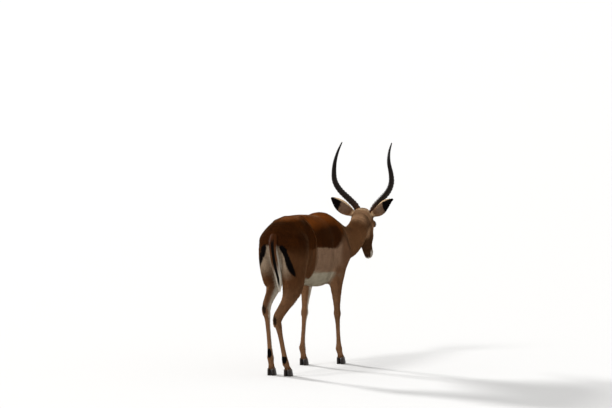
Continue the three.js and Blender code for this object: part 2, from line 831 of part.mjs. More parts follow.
const TAIL = [
  [place(46, 0, 822), 20, 14],
  [place(10, 2, 806), 21, 13],
  [place(-16, 7, 764), 22, 12],
  [place(-26, 16, 704), 26, 12],
  [place(-24, 28, 636), 28, 13],
  [place(-18, 42, 562), 22, 11],
  [place(-12, 56, 490), 6, 5],
];

function tailSolid() {
  const path = new THREE.CatmullRomCurve3(TAIL.map((t) => t[0]), false, "catmullrom");
  const size = new THREE.CatmullRomCurve3(
    TAIL.map((t) => new THREE.Vector3(t[1], t[2], 0)),
    false,
    "catmullrom",
  );
  const steps = 12;
  const rings = [];
  for (let i = 0; i <= steps; i++) {
    const along = path.getTangent(i / steps);
    const across = RIGHT.clone().addScaledVector(along, -RIGHT.dot(along)).normalize();
    const fore = new THREE.Vector3().crossVectors(across, along);
    const { x, y } = size.getPoint(i / steps);
    const at = path.getPoint(i / steps);
    rings.push(ring(at, across.multiplyScalar(x), fore.multiplyScalar(y), 8));
  }
  return solid(skinRings(rings));
}

// ---- Assembly ---------------------------------------------------------------------------------

const finish = (color, roughness, metalness = 0) =>
  new THREE.MeshStandardMaterial({ color, roughness, metalness });
const FINISH = {
  saddle: finish(0x7a4526, 0.75),
  fawn: finish(0xa87a56, 0.78),
  ear: finish(0x8d6a52, 0.8),
  tail: finish(0x9c8f80, 0.85),
  horn: finish(0x231c19, 0.5),
  hoof: finish(0x1c1816, 0.45),
  eye: finish(0x120c08, 0.08),
};

const impala = new THREE.Group();
const pieces = [];
function add(name, manifold, material) {
  pieces.push({ name, manifold, material });
}

const trunkPiece = trunkSolid();
const neckPiece = neckSolid();
const headPiece = headSolid();
const tailPiece = largest(tailSolid().subtract(trunkPiece));
add("neck", neckPiece, FINISH.fawn);

const horns = [-1, 1].map(hornSolid);
const ears = [-1, 1].map(earSolid);
let skull = headPiece;
horns.forEach((horn, i) => {
  const outside = largest(horn.subtract(skull));
  skull = largest(skull.subtract(horn));
  add(i ? "horn_right" : "horn_left", outside, FINISH.horn);
});
ears.forEach((ear, i) => {
  let outside = ear.subtract(skull);
  for (const horn of horns) outside = outside.subtract(horn);
  add(i ? "ear_right" : "ear_left", largest(outside.subtract(neckPiece)), FINISH.ear);
});
add("head", skull, FINISH.fawn);
EYES.forEach((eye, i) => {
  const ball = solid(eyeball(0), new THREE.Matrix4().setPosition(eye));
  add(i ? "eye_right" : "eye_left", ball, FINISH.eye);
});
add("trunk", trunkPiece, FINISH.saddle);
add("tail", tailPiece, FINISH.tail);
for (const name of Object.keys(LEGS)) {
  add(`${name}_upper_leg`, upperLeg(name), FINISH.fawn);
  add(`${name}_lower_leg`, lowerLeg(name), FINISH.fawn);
  add(`${name}_hoof_inner`, clawSolid(JOINTS[name], true), FINISH.hoof);
  add(`${name}_hoof_outer`, clawSolid(JOINTS[name], false), FINISH.hoof);
}

for (const { name, manifold, material } of pieces) {
  const welded = largest(solid(geometryOf(manifold)));
  const mesh = new THREE.Mesh(geometryOf(welded), material);
  mesh.name = name;
  impala.add(mesh);
}
const bounds = new THREE.Box3().setFromObject(impala);
const middle = bounds.getCenter(new THREE.Vector3());
impala.position.set(-middle.x, -middle.y, 0);

export default impala;
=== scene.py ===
import itertools
import math
import bmesh
import bpy
import numpy as np
from mathutils import Matrix, Vector


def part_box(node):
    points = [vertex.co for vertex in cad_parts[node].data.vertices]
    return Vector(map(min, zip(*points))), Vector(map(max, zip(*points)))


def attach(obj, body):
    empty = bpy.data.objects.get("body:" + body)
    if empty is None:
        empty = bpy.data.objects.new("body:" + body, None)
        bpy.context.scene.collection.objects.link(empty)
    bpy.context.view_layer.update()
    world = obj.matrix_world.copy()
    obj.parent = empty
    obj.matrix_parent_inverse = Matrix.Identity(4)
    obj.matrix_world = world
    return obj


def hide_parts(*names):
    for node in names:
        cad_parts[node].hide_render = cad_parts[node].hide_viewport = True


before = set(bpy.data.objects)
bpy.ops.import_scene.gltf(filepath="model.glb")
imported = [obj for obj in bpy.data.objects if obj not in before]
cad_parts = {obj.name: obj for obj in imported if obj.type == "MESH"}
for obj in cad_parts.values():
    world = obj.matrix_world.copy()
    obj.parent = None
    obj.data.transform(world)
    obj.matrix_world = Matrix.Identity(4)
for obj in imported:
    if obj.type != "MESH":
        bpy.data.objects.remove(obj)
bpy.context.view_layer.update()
F32 = np.float32
rng = np.random.default_rng(20)

# ---- Axes ----
# Shapes are worked out in millimetres in the animal's own axes: x to its left, y to its rear, z up,
# with y = 0 at the buttocks. to_frame() moves them to the part's frame, in metres.


def place(forward, right, up):
    """A place on the animal: forward from the buttocks, to its right, and up from the floor."""
    return np.array([-right, -forward, up], float)


def body_terms(p):
    """Points as place() takes them: how far forward, to the right, and up."""
    return -p[:, 1], -p[:, 0], p[:, 2]


def unit(v):
    """Each vector over its own length."""
    return v / np.maximum(np.linalg.norm(v, axis=-1, keepdims=True), 1e-9)


def mix(a, b, t):
    """The point a share t of the way from a to b."""
    return a + (b - a) * t


def dots(a, b):
    """The dot product of each row of a with the same row of b."""
    return np.einsum("ij,ij->i", a, b)


def smooth(x, low, high):
    """0 below low, 1 above high, and 3t^2 - 2t^3 between them."""
    t = np.clip((x - low) / (high - low), 0, 1)
    return t * t * (3 - 2 * t)


def bell(x, width):
    """exp of minus the square of x over the width."""
    return np.exp(-((x / width) ** 2))


def whole_turn(count):
    """Angles evenly round a circle."""
    return np.linspace(0, 2 * math.pi, count, endpoint=False)


def sided(name, side):
    """A name with the side it is on: -1 left, 1 right."""
    return f"{name}_{'right' if side > 0 else 'left'}"


RIGHT = place(0, 1, 0)
UP = np.array([0, 0, 1.0])
# The head hangs from its poll, pitched down and turned a little to its left.
POLL = place(1195, 84, 840)
PITCH, YAW = math.radians(60), math.radians(-2)
HEAD_ALONG = place(math.cos(PITCH) * math.cos(YAW), math.cos(PITCH) * math.sin(YAW), -math.sin(PITCH))
HEAD_RIGHT = place(-math.sin(YAW), math.cos(YAW), 0)
HEAD_OUT = place(math.sin(PITCH) * math.cos(YAW), math.sin(PITCH) * math.sin(YAW), math.cos(PITCH))
HEAD_AXES = np.array([HEAD_ALONG, HEAD_RIGHT, HEAD_OUT])
FACING = place(math.cos(YAW), math.sin(YAW), 0)


def on_head(along, right, out):
    """A place on the head: along the face from the poll, to its right, and out of the forehead."""
    return POLL + HEAD_ALONG * along + HEAD_RIGHT * right + HEAD_OUT * out


def head_terms(p):
    """Points as on_head counts them: along the face, to its right, and out of it."""
    return (p - POLL) @ HEAD_AXES.T


EYE_R = 17.5
EYES = {side: on_head(77, side * 51, 24) for side in (-1, 1)}
# The left eyeball's solid tells where the frame's origin is.
eye_low, eye_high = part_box("eye_left")
SHIFT = (np.array(eye_low) + np.array(eye_high)) / 2 - EYES[-1] / 1000
SHIFT[2] = 0


def to_frame(p):
    """Millimetres in the animal's axes to metres in the part's frame."""
    return np.asarray(p, float) / 1000 + SHIFT


# ---- Swept limbs ----


def catmull(points, t):
    """Catmull-Rom through the points: on each span the cubic whose end slopes are half the chord
    between the neighbours; past each end the last chord is continued."""
    points = np.asarray(points, float)
    n = len(points)
    q = np.vstack([2 * points[0] - points[1], points, 2 * points[-1] - points[-2]])
    s = np.clip(np.asarray(t, float), 0, 1) * (n - 1)
    i = np.minimum(s.astype(int), n - 2)
    w = (s - i)[:, None]
    a, b, c, d = q[i], q[i + 1], q[i + 2], q[i + 3]
    slope0, slope1 = (c - a) / 2, (d - b) / 2
    square, cube = 3 * (c - b) - 2 * slope0 - slope1, 2 * (b - c) + slope0 + slope1
    return b + slope0 * w + square * w**2 + cube * w**3


def limb(part, stations, lateral=RIGHT, blend=30, power=2.2, steps=4):
    """Straight segments along the curve through the stations [place, half width, half depth]."""
    n = (len(stations) - 1) * steps
    t = np.arange(n + 1) / n
    at = catmull([s[0] for s in stations], t)
    size = catmull([[s[1], s[2]] for s in stations], t)
    along = at[1:] - at[:-1]
    length = np.linalg.norm(along, axis=1)
    along = along / length[:, None]
    side = unit(lateral - along * (along @ lateral)[:, None])
    depth = np.cross(side, along)
    depth[depth[:, 2] < -0.3] *= -1
    reach = size.max(1)[:, None]
    return {
        "part": part,
        "at": at[:-1].astype(F32),
        "along": along.astype(F32),
        "length": length.astype(F32),
        "start": np.concatenate([[0], np.cumsum(length)[:-1]]).astype(F32),
        "side": side.astype(F32),
        "depth": depth.astype(F32),
        "size": size.astype(F32),
        "low": (at - reach).min(0),
        "high": (at + reach).max(0),
        "blend": blend,
        "power": power,
    }


def limb_distance(tube, p, detail=False):
    """Distance to a limb, negative inside: the point's distance from the axis times one less the
    inverse of its super-elliptic radius, least over the segments. With detail, also where it is:
    along the limb, across and through it as shares of its size, and the axis's direction."""
    best = np.full(len(p), 1e9, F32)
    where = np.zeros(len(p), int)
    for i in range(len(tube["length"])):
        q = p - tube["at"][i]
        along = q @ tube["along"][i]
        t = np.clip(along / tube["length"][i], 0, 1)
        over = along - t * tube["length"][i]
        across = q @ tube["side"][i]
        depth = q @ tube["depth"][i]
        (a0, b0), (a1, b1) = tube["size"][i], tube["size"][i + 1]
        a = a0 + (a1 - a0) * t
        b = b0 + (b1 - b0) * t
        cap = np.minimum(a, b) * F32(0.9)
        e = F32(tube["power"])
        r = (np.abs(across / a) ** e + np.abs(depth / b) ** e + np.abs(over / cap) ** e) ** (1 / e)
        far = np.sqrt(across**2 + depth**2 + over**2)
        d = np.where(r < 1e-4, -np.minimum(a, b), far * (1 - 1 / np.maximum(r, F32(1e-4))))
        nearer = d < best
        best = np.where(nearer, d, best)
        where[nearer] = i
    if not detail:
        return best
    q = p - tube["at"][where]
    along = np.clip(dots(q, tube["along"][where]), 0, tube["length"][where])
    t = along / tube["length"][where]
    size = tube["size"][where] * (1 - t)[:, None] + tube["size"][where + 1] * t[:, None]
    across = dots(q, tube["side"][where]) / size[:, 0]
    depth = dots(q, tube["depth"][where]) / size[:, 1]
    return best, tube["start"][where] + along, across, depth, tube["along"][where]


# Lengths of the leg bones, from joint to joint.
FEMUR, SHANK, HIND_CANNON, FOREARM, FORE_CANNON = 213, 262, 284, 226, 208
CORONET = 38  # height of the hoof's upper edge


def hang(start, length, angle, right):
    """The point a bone's length from a joint, at an angle in degrees forward of straight down."""
    a = math.radians(angle)
    return place(-start[1] + length * math.sin(a), right, start[2] - length * math.cos(a))


def hind_joints(side, hip, femur, shank, cannon, out, toe):
    """Joints of a hind leg from its hip, by the angle of each bone and how far out each joint is."""
    top = place(hip[0], side * hip[1], hip[2])
    stifle = hang(top, FEMUR, femur, side * out[0])
    hock = hang(stifle, SHANK, shank, side * out[1])
    fetlock = hang(hock, HIND_CANNON, cannon, side * out[2])
    coronet = place(-fetlock[1] + toe, side * (out[2] + 4), CORONET)
    return {"side": side, "hip": top, "stifle": stifle, "hock": hock, "fetlock": fetlock, "coronet": coronet}


def fore_joints(side, elbow, forearm, cannon, out, toe):
    """The same for a fore leg from its elbow."""
    top = place(elbow[0], side * elbow[1], elbow[2])
    knee = hang(top, FOREARM, forearm, side * out[0])
    fetlock = hang(knee, FORE_CANNON, cannon, side * out[1])
    coronet = place(-fetlock[1] + toe, side * (out[1] + 3), CORONET)
    return {"side": side, "elbow": top, "knee": knee, "fetlock": fetlock, "coronet": coronet}


# The four legs in mid step.
LEGS = {
    "hind_left": hind_joints(-1, [150, 74, 745], 32, -47, 6, [78, 66, 54], 26),
    "hind_right": hind_joints(1, [150, 78, 738], -2, -42, 26, [92, 42, 42], 26),
    "fore_left": fore_joints(-1, [728, 78, 528], -13, -11, [74, 72], 30),
    "fore_right": fore_joints(1, [742, 96, 524], 5, 5, [96, 100], 24),
}


def hind_limbs(part, j):
    """Thigh to pastern, and the tendon to the point of the hock."""
    hip, stifle, hock, fetlock, coronet = (j[k] for k in ("hip", "stifle", "hock", "fetlock", "coronet"))
    point = hock + place(-30, 0, 26)
    return [
        limb(part, [
            [hip + place(4, 0, 30), 46, 106],
            [mix(hip, stifle, 0.3) + place(-16, 0, 0), 52, 136],
            [mix(hip, stifle, 0.7) + place(-46, 0, 0), 50, 130],
            [mix(stifle, hock, 0.12) + place(-40, 0, -4), 45, 98],
            [mix(stifle, hock, 0.34) + place(-12, 0, -4), 36, 64],
            [mix(stifle, hock, 0.58), 28, 42],
            [mix(stifle, hock, 0.82), 22.5, 30],
            [hock + place(2, 0, 0), 22.5, 30],
            [mix(hock, fetlock, 0.14), 20, 25],
            [mix(hock, fetlock, 0.36), 15, 18],
            [mix(hock, fetlock, 0.72), 14, 15.5],
            [mix(hock, fetlock, 0.93), 17, 18],
            [fetlock, 19.5, 20.5],
            [mix(fetlock, coronet, 0.55), 17, 16],
            [coronet + place(2, 0, -6), 21, 21],
        ], blend=44),
        limb(part + " tendon", [
            [mix(stifle, hock, 0.42) + place(-30, 0, 14), 15, 26],
            [mix(stifle + place(-42, 0, 24), point, 0.78), 11, 20],
            [point, 13, 14],
            [hock + place(-16, 0, -22), 15, 16],
        ], blend=26),
    ]


def fore_limbs(part, j):
    """Shoulder blade, upper arm, and forearm to pastern."""
    side, elbow, knee, fetlock, coronet = (j[k] for k in ("side", "elbow", "knee", "fetlock", "coronet"))
    lean = -elbow[0] - side * 86
    shoulder = place(832, side * 84 + lean, 646)
    return [
        limb(part + " shoulder", [
            [place(676, side * 34 + lean, 838), 26, 50],
            [place(722, side * 66 + lean, 768), 38, 76],
            [place(786, side * 82 + lean, 700), 42, 76],
            [shoulder, 38, 54],
        ], blend=60),
        limb(part + " shoulder", [
            [shoulder, 38, 48],
            [mix(shoulder, elbow, 0.5), 42, 62],
            [elbow + place(-4, 0, 14), 39, 60],
        ], blend=50),
        limb(part, [
            [elbow + place(2, 0, 44), 43, 70],
            [elbow + place(2, 0, 0), 42, 62],
            [mix(elbow, knee, 0.25), 36, 50],
            [mix(elbow, knee, 0.55), 27, 34],
            [mix(elbow, knee, 0.84), 20.5, 23],
            [knee, 22, 23],
            [mix(knee, fetlock, 0.16), 17, 18],
            [mix(knee, fetlock, 0.42), 13.5, 15],
            [mix(knee, fetlock, 0.76), 13.5, 14.5],
            [mix(knee, fetlock, 0.94), 17, 18],
            [fetlock, 19, 20],
            [mix(fetlock, coronet, 0.55), 16.5, 16],
            [coronet + place(2, 0, -6), 21, 22],
        ], blend=36),
    ]


TRUNK = limb("trunk", [
    [place(48, 0, 748), 66, 64],
    [place(100, 0, 747), 102, 112],
    [place(175, 0, 738), 120, 150],
    [place(275, 0, 727), 120, 172],
    [place(385, 0, 712), 130, 186],
    [place(490, 0, 696), 138, 196],
    [place(590, 4, 675), 136, 207],
    [place(680, 8, 669), 122, 206],
    [place(760, 12, 668), 106, 188],
    [place(840, 22, 664), 86, 152],
    [place(902, 32, 656), 66, 108],
], power=2.3)
NECK = limb("neck", [
    [place(740, 12, 724), 88, 130],
    [place(820, 24, 710), 84, 126],
    [place(900, 42, 690), 78, 116],
    [place(980, 57, 690), 70, 102],
    [place(1050, 72, 705), 64, 90],
    [place(1118, 83, 750), 60, 76],
    [place(1180, 84, 814), 51, 56],
], blend=70)
HEAD = limb("head", [
    [on_head(8, 0, 0), 45, 50],
    [on_head(45, 0, 0), 53, 60],
    [on_head(88, 0, -4), 54, 61],
    [on_head(128, 0, -8), 49, 54],
    [on_head(168, 0, -10), 41.5, 43],
    [on_head(208, 0, -9), 33.5, 34],
    [on_head(248, 0, -7), 29, 28],
    [on_head(276, 0, -7), 23.5, 22],
], lateral=HEAD_RIGHT, blend=34)
LIMBS = [TRUNK, NECK, HEAD]
for name, joints in LEGS.items():
    LIMBS += (hind_limbs if "hock" in joints else fore_limbs)(name, joints)
# The dock of the tail, inside its hair.
DOCK_END, DOCK_LENGTH = place(-18, 42, 572), 255
DOCK = limb("tail", [
    [place(52, 0, 818), 16, 15],
    [place(10, 2, 804), 13, 10],
    [place(-14, 7, 762), 11, 8],
    [place(-25, 16, 704), 9, 7],
    [place(-24, 28, 636), 7, 6],
    [DOCK_END, 4, 4],
], blend=24)
LIMBS.append(DOCK)
BODY_LIMBS = [tube for tube in LIMBS if tube is not HEAD] + [HEAD]

# ---- Swellings and hollows ----


def both(forward, right, up, reach, height):
    """A soft bump on each side: [middle, reach forward, sideways and up, height]."""
    return [(place(forward, s * right, up), reach, height) for s in (-1, 1)]


BUMPS = [
    *both(232, 92, 872, [46, 34, 30], 9),  # hip bones
    *both(336, 118, 656, [60, 50, 90], -13),  # hollow of the flank
    *both(20, 60, 728, [30, 34, 36], 8),  # seat bones
    *both(620, 128, 640, [40, 40, 110], -7),  # behind the shoulder
    *both(560, 120, 620, [90, 60, 90], 5),  # rib cage
    (place(690, 8, 884), [70, 26, 30], 6),  # withers
    (place(882, 50, 584), [50, 62, 52], 24),  # front of the breast
    (place(700, 8, 494), [70, 26, 26], 10),  # breast bone
]
for joints in LEGS.values():
    if "hock" in joints:
        BUMPS.append((joints["stifle"] + place(12, 0, -4), [34, 34, 34], 8))
        BUMPS.append((joints["hock"] + place(14, 0, 4), [20, 20, 24], 3))
    else:
        BUMPS.append((joints["elbow"] + place(-46, 0, 18), [24, 30, 26], 8))
        BUMPS.append((joints["knee"] + place(12, 0, 0), [14, 18, 22], 3))
HEAD_BUMPS = [
    ([282, 0, -22], [18, 18, 10], 4),  # chin
    ([268, 0, 16], [18, 16, 12], 3),  # top of the nose
    ([-20, 0, 28], [30, 36, 28], 5),  # crown
]
for s in (-1, 1):
    HEAD_BUMPS += [
        ([73, s * 52, 38], [30, 18, 18], 6),  # brow
        ([88, s * 59, 6], [34, 16, 14], 4),  # cheek bone under the eye
        ([60, s * 50, -28], [34, 24, 30], 6),  # jaw muscle
        ([120, s * 46, 14], [22, 16, 16], -3),  # in front of the eye
        ([270, s * 18, 8], [15, 11, 12], 5.5),  # nostril wing
        ([206, s * 31, -2], [34, 16, 18], -1.5),  # side of the muzzle
        ([58, s * 26, 56], [24, 20, 20], 7),  # horn pedicle
        ([-14, s * 34, 22], [28, 22, 26], 6),  # corner of the crown, under the ear
        ([46, s * 54, 24], [20, 15, 20], 8),  # temple, between ear and eye
        ([142, s * 45, 4], [44, 16, 24], 5),  # cheek
    ]


def smooth_min(a, b, k):
    """The lesser of two distances, with the crease between them filled over a width k."""
    h = np.maximum(k - np.abs(a - b), 0) / k
    return np.minimum(a, b) - h * h * k / 4


def gauss(q, middle, reach):
    """exp of minus the squared offset from the middle, in units of the reach."""
    return np.exp(-(((q - np.asarray(middle)) / np.asarray(reach)) ** 2).sum(1))


REACH = 90  # limbs further away than this don't blend in


def flesh(p, limbs):
    """The animal's outline: limbs blended one into the next, then soft bumps added."""
    d = np.full(len(p), 1e9, F32)
    for tube in limbs:
        beyond = np.maximum(np.maximum(tube["low"] - p, p - tube["high"]), 0)
        away = np.linalg.norm(beyond, axis=1).astype(F32)
        near = away <= REACH
        if near.any():
            away[near] = limb_distance(tube, p[near])
        d = smooth_min(d, away, tube["blend"])
    for middle, (fore, across, up), height in BUMPS:
        d = d - height * gauss(p, middle, [across, fore, up])
    q = head_terms(p)
    for middle, reach, height in HEAD_BUMPS:
        d = d - height * gauss(q, middle, reach)
    return d.astype(F32)


# ---- Ears ----

EAR_LENGTH, EAR_WIDTH, EAR_SAG = 182, 45, 8
EAR_SPAN = 62  # no part of the leaf is further than this from its middle line
EAR_SHARE = [0.5, 0.74, 0.92, 1, 1, 0.9, 0.7, 0.42, 0.08]
EAR_ROLL = [250, 215, 175, 145, 125, 105, 88, 70, 50]
EAR_WALL = [17, 12, 6.5, 4.8, 4.6, 4.5, 4.5, 4.4, 4.4]
EAR_T = np.linspace(0, 1, 9)


def ear_axes(side):
    """Root, and the directions along the ear, out of its opening, and across it."""
    root = on_head(17, side * 44, 27)
    along = unit(HEAD_RIGHT * side * 0.83 + UP * 0.58 - FACING * 0.16)
    opening = FACING + HEAD_RIGHT * side * 0.35 - UP * 0.25
    opening = unit(opening - along * (opening @ along))
    return root, along, opening, np.cross(along, opening)


EAR_AXES = {side: ear_axes(side) for side in (-1, 1)}


def ear_place(side, p):
    """A point in the rolled leaf's own terms: share along it, angle round it as a share of the half
    roll, distance inward from the outer face, the roll's radius, and the wall's thickness there."""
    root, along, opening, across = EAR_AXES[side]
    q = p - root
    t = q @ along / EAR_LENGTH
    s = np.clip(t, 0, 1)
    roll = np.radians(np.interp(s, EAR_T, EAR_ROLL))
    radius = 2 * EAR_WIDTH * np.interp(s, EAR_T, EAR_SHARE) / roll
    outer = radius + 2.4
    u = q @ opening - (radius * 0.45 + 10 * s * s)
    v = q @ across + math.copysign(EAR_SAG, across[2]) * np.sin(math.pi * s)
    r = np.hypot(u, v)
    angle = np.arctan2(v, -u)
    return t, angle, roll, outer - r, r, np.interp(s, EAR_T, EAR_WALL)


def ear_distance(side, p):
    """Distance to the leaf: from its middle sheet, by depth, past its edges and past its ends,
    less half its wall."""
    t, angle, roll, inward, r, wall = ear_place(side, p)
    wall = wall + 1.0 * smooth(t, 0.3, 0.1)
    depth = inward - wall / 2 - 0.6
    edge = np.maximum(np.abs(angle) - roll / 2 + 0.04, 0) * r
    end = np.maximum(np.maximum(t - 0.985, -t), 0) * EAR_LENGTH
    ridge = 0.55 * np.cos(angle * 9) * smooth(inward, 1, 4) * smooth(t, 0.9, 0.5)
    return (np.sqrt(depth**2 + edge**2 + end**2) - wall / 2 + 0.9 + ridge).astype(F32)


# ---- Skin ----


def coat_depth(p):
    """How far the skin lies under the tips of the coat: 4.5 mm on the body, less down the legs and
    on the face."""
    forward, up = -p[:, 1], p[:, 2]
    q = head_terms(p)
    depth = 1.6 + 2.9 * smooth(up, 60, 420)
    face = 2.4 - 1.2 * smooth(q[:, 0], 90, 210)
    return depth + (face - depth) * smooth(forward, 1100, 1165)


def eye_axes(side):
    """Out of the lids' opening, forward along it, and across it."""
    out = unit(HEAD_RIGHT * side * 0.93 + HEAD_OUT * 0.3 + HEAD_ALONG * 0.12)
    fore = HEAD_ALONG * 0.96 - HEAD_OUT * 0.28
    fore = unit(fore - out * (fore @ out))
    return out, fore, np.cross(out, fore) * -side


EYE_AXES = {side: eye_axes(side) for side in (-1, 1)}


def lid_opening(side, p):
    """Below 0 inside the cone that the lids leave open: an almond, longer than high, in angles seen
    from the eye's middle, with its inner corner drawn out towards the nose."""
    out, fore, up = EYE_AXES[side]
    q = p - EYES[side]
    far = np.linalg.norm(q, axis=1)
    h = np.arctan2(q @ fore, q @ out)
    v = np.arcsin(np.clip(q @ up / np.maximum(far, 1e-6), -1, 1))
    h, v = h - 0.02, v - 0.04 - 0.10 * (h + 0.1)
    half = np.where(h > 0, 1.0, 0.90)
    height = np.where(v > 0, 0.66, 0.56)
    e = np.sqrt((h / half) ** 2 + (v / height) ** 2 + 0.5 * (h / half) ** 4 * np.abs(v / height))
    return (e - 1) * 0.6 * far, far, h, v


def mouth_line(along):
    """How far out of the face's middle the lips meet, by the distance along it."""
    return -17 - 0.10 * (along - 276) - 5 * smooth(along, 236, 206)


def face_detail(p, d):
    """The head's folds: lids round the eyes, corner and brow creases, nostrils, lips and the line
    of the jaw."""
    q = head_terms(p)
    along, right, out = q.T
    for side in (-1, 1):
        near = np.linalg.norm(p - EYES[side], axis=1) < 46
        if near.any():
            pn = p[near]
            opening, far, h, v = lid_opening(side, pn)
            dn = d[near]
            ball = far - (EYE_R + 2.9) + 1.6 * np.clip((far - 10) / 20, 0, 1)
            dn = smooth_min(dn, ball, 9)
            crease = np.sqrt((h / 1.12) ** 2 + (v / 0.86) ** 2)
            dn = dn + 1.3 * np.exp(-(((crease - 1.14) * 9) ** 2)) * smooth(v, -0.2, 0.3)
            dn = dn + 0.9 * np.exp(-(((crease - 1.28) * 8) ** 2)) * smooth(v, 0.1, -0.4)
            hollow = np.minimum(-opening, far - (EYE_R - 6))
            d[near] = np.maximum(dn, hollow)
        # tear duct fold ahead of the eye
        d += 1.6 * gauss(q, [111, side * 49, 13], [16, 9, 4.5])
        # nostril: a comma that opens forward and sideways, with a raised wing over it
        curl = (out - 5) + 0.45 * (along - 271)
        hole = np.sqrt(((along - 272) / 10.5) ** 2 + ((right - side * 16) / 8.5) ** 2 + (curl / 4.2) ** 2)
        d = np.maximum(d, (1 - hole) * 5.5)
        d -= 2.4 * gauss(q, [266, side * 20, 12], [12, 6, 4.5])
        d -= 1.4 * gauss(q, [266, side * 22, -3], [10, 5, 4])
        # rims above and below the eye, and the cheek's edge under it
        d -= 1.4 * gauss(q, [77, side * 53, 43], [24, 9, 5])
        d -= 1.3 * gauss(q, [89, side * 57, 4], [26, 7, 4])
        d += 1.4 * gauss(q, [97, side * 53, -5], [30, 8, 5])
    # the mouth's line, from the front of the lips back along the muzzle
    line = mouth_line(along)
    mouth = bell(out - line, 1.7) * smooth(along, 196, 212) * smooth(np.abs(right), 1, 5)
    d += 2.3 * mouth
    d -= 0.9 * bell(out - line - 5, 3.6) * smooth(along, 214, 240)
    d -= 1.0 * bell(out - line + 6, 4.0) * smooth(along, 222, 246)
    # ridge of the nose, with a shallow dip each side
    d -= 1.6 * bell(right, 9) * smooth(along, 110, 150) * smooth(along, 262, 236) * smooth(out, 8, 20)
    # groove between the nostrils
    d += 1.6 * bell(right, 1.8) * smooth(along, 266, 278) * smooth(out, -18, -8)
    # jaw line and throat folds
    jaw = out + 34 + 0.08 * along
    d += 1.4 * bell(jaw, 9) * smooth(along, 96, 120) * smooth(along, 200, 150)
    throat = along - 6 - 0.16 * np.abs(right)
    d += 1.1 * bell(throat, 5.5) * smooth(out, -24, -44)
    return d


# Where the front edge of the shoulder blade lies: forward by height.
CREASE_UP = [678, 762, 847]
CREASE_FORWARD = [850, 800, 760]
# Where the haunch ends in front: forward by height.
HAUNCH_UP = [500, 540, 572, 612, 681, 757, 833, 880]
HAUNCH_FORWARD = [450, 416, 400, 393, 384, 368, 338, 318]


def past_haunch(forward, right, up):
    """Distance ahead of the haunch's front edge, and how strongly the edge shows there."""
    ahead = forward - np.interp(up, HAUNCH_UP, HAUNCH_FORWARD)
    return ahead, smooth(up, 560, 650) * smooth(np.abs(right), 22, 60) * bell(ahead, 75)


def head_field(p):
    """Skin of the head, ears and upper neck."""
    d = flesh(p, [TRUNK, NECK, HEAD]) + coat_depth(p)
    d = d - 5 * gauss(p, place(1152, 84, 838), [50, 24, 26])
    for out in (-52, 52):
        d = d - 4.5 * gauss(p, place(1178, 84 + out, 800), [22, 20, 34])
    for side in (-1, 1):
        d = smooth_min(d, ear_distance(side, p), 9)
    return face_detail(p, d.astype(F32)).astype(F32)


def body_field(p):
    """Skin of everything behind the middle of the neck, with the shallow folds that the joints and
    the moving skin make."""
    d = flesh(p, BODY_LIMBS) + coat_depth(p)
    forward, right, up = body_terms(p)
    # shallow folds of skin before the shoulder and at the flank
    seen = np.stack([forward, up], 1)
    wave = np.sin((forward * 0.9 + up * 0.45) / 9.5 + 1.4 * np.sin(up / 61))
    d = d + 0.5 * wave * gauss(seen, [846, 700], [46, 110])
    ribs = np.cos((forward + 0.28 * (up - 640)) / 31 * 2 * math.pi)
    d = d + 0.9 * ribs * gauss(seen, [520, 660], [110, 70]) * smooth(np.abs(right), 60, 110)
    # the crease between the neck and the shoulder blade, with the blade raised behind it
    off = (forward - np.interp(up, CREASE_UP, CREASE_FORWARD)) * 0.88
    beside = smooth(up, 640, 700) * smooth(up, 872, 840) * smooth(np.abs(right), 20, 50)
    d = d + beside * (2.6 * bell(off, 9) - 2.2 * bell(off + 22, 16))
    # the haunch stands out from the flank ahead of it
    ahead, shown = past_haunch(forward, right, up)
    d = d + 6.5 * np.tanh(ahead / 10) * shown
    d = d - 8.5 * gauss(seen, [302, 650], [42, 110]) * smooth(np.abs(right), 40, 80)
    # the sheath under the belly
    d = d - 9 * gauss(p, place(330, 2, 512), [13, 46, 20])
    return d.astype(F32)


CHUNK = 200000  # grid nodes worked out at once


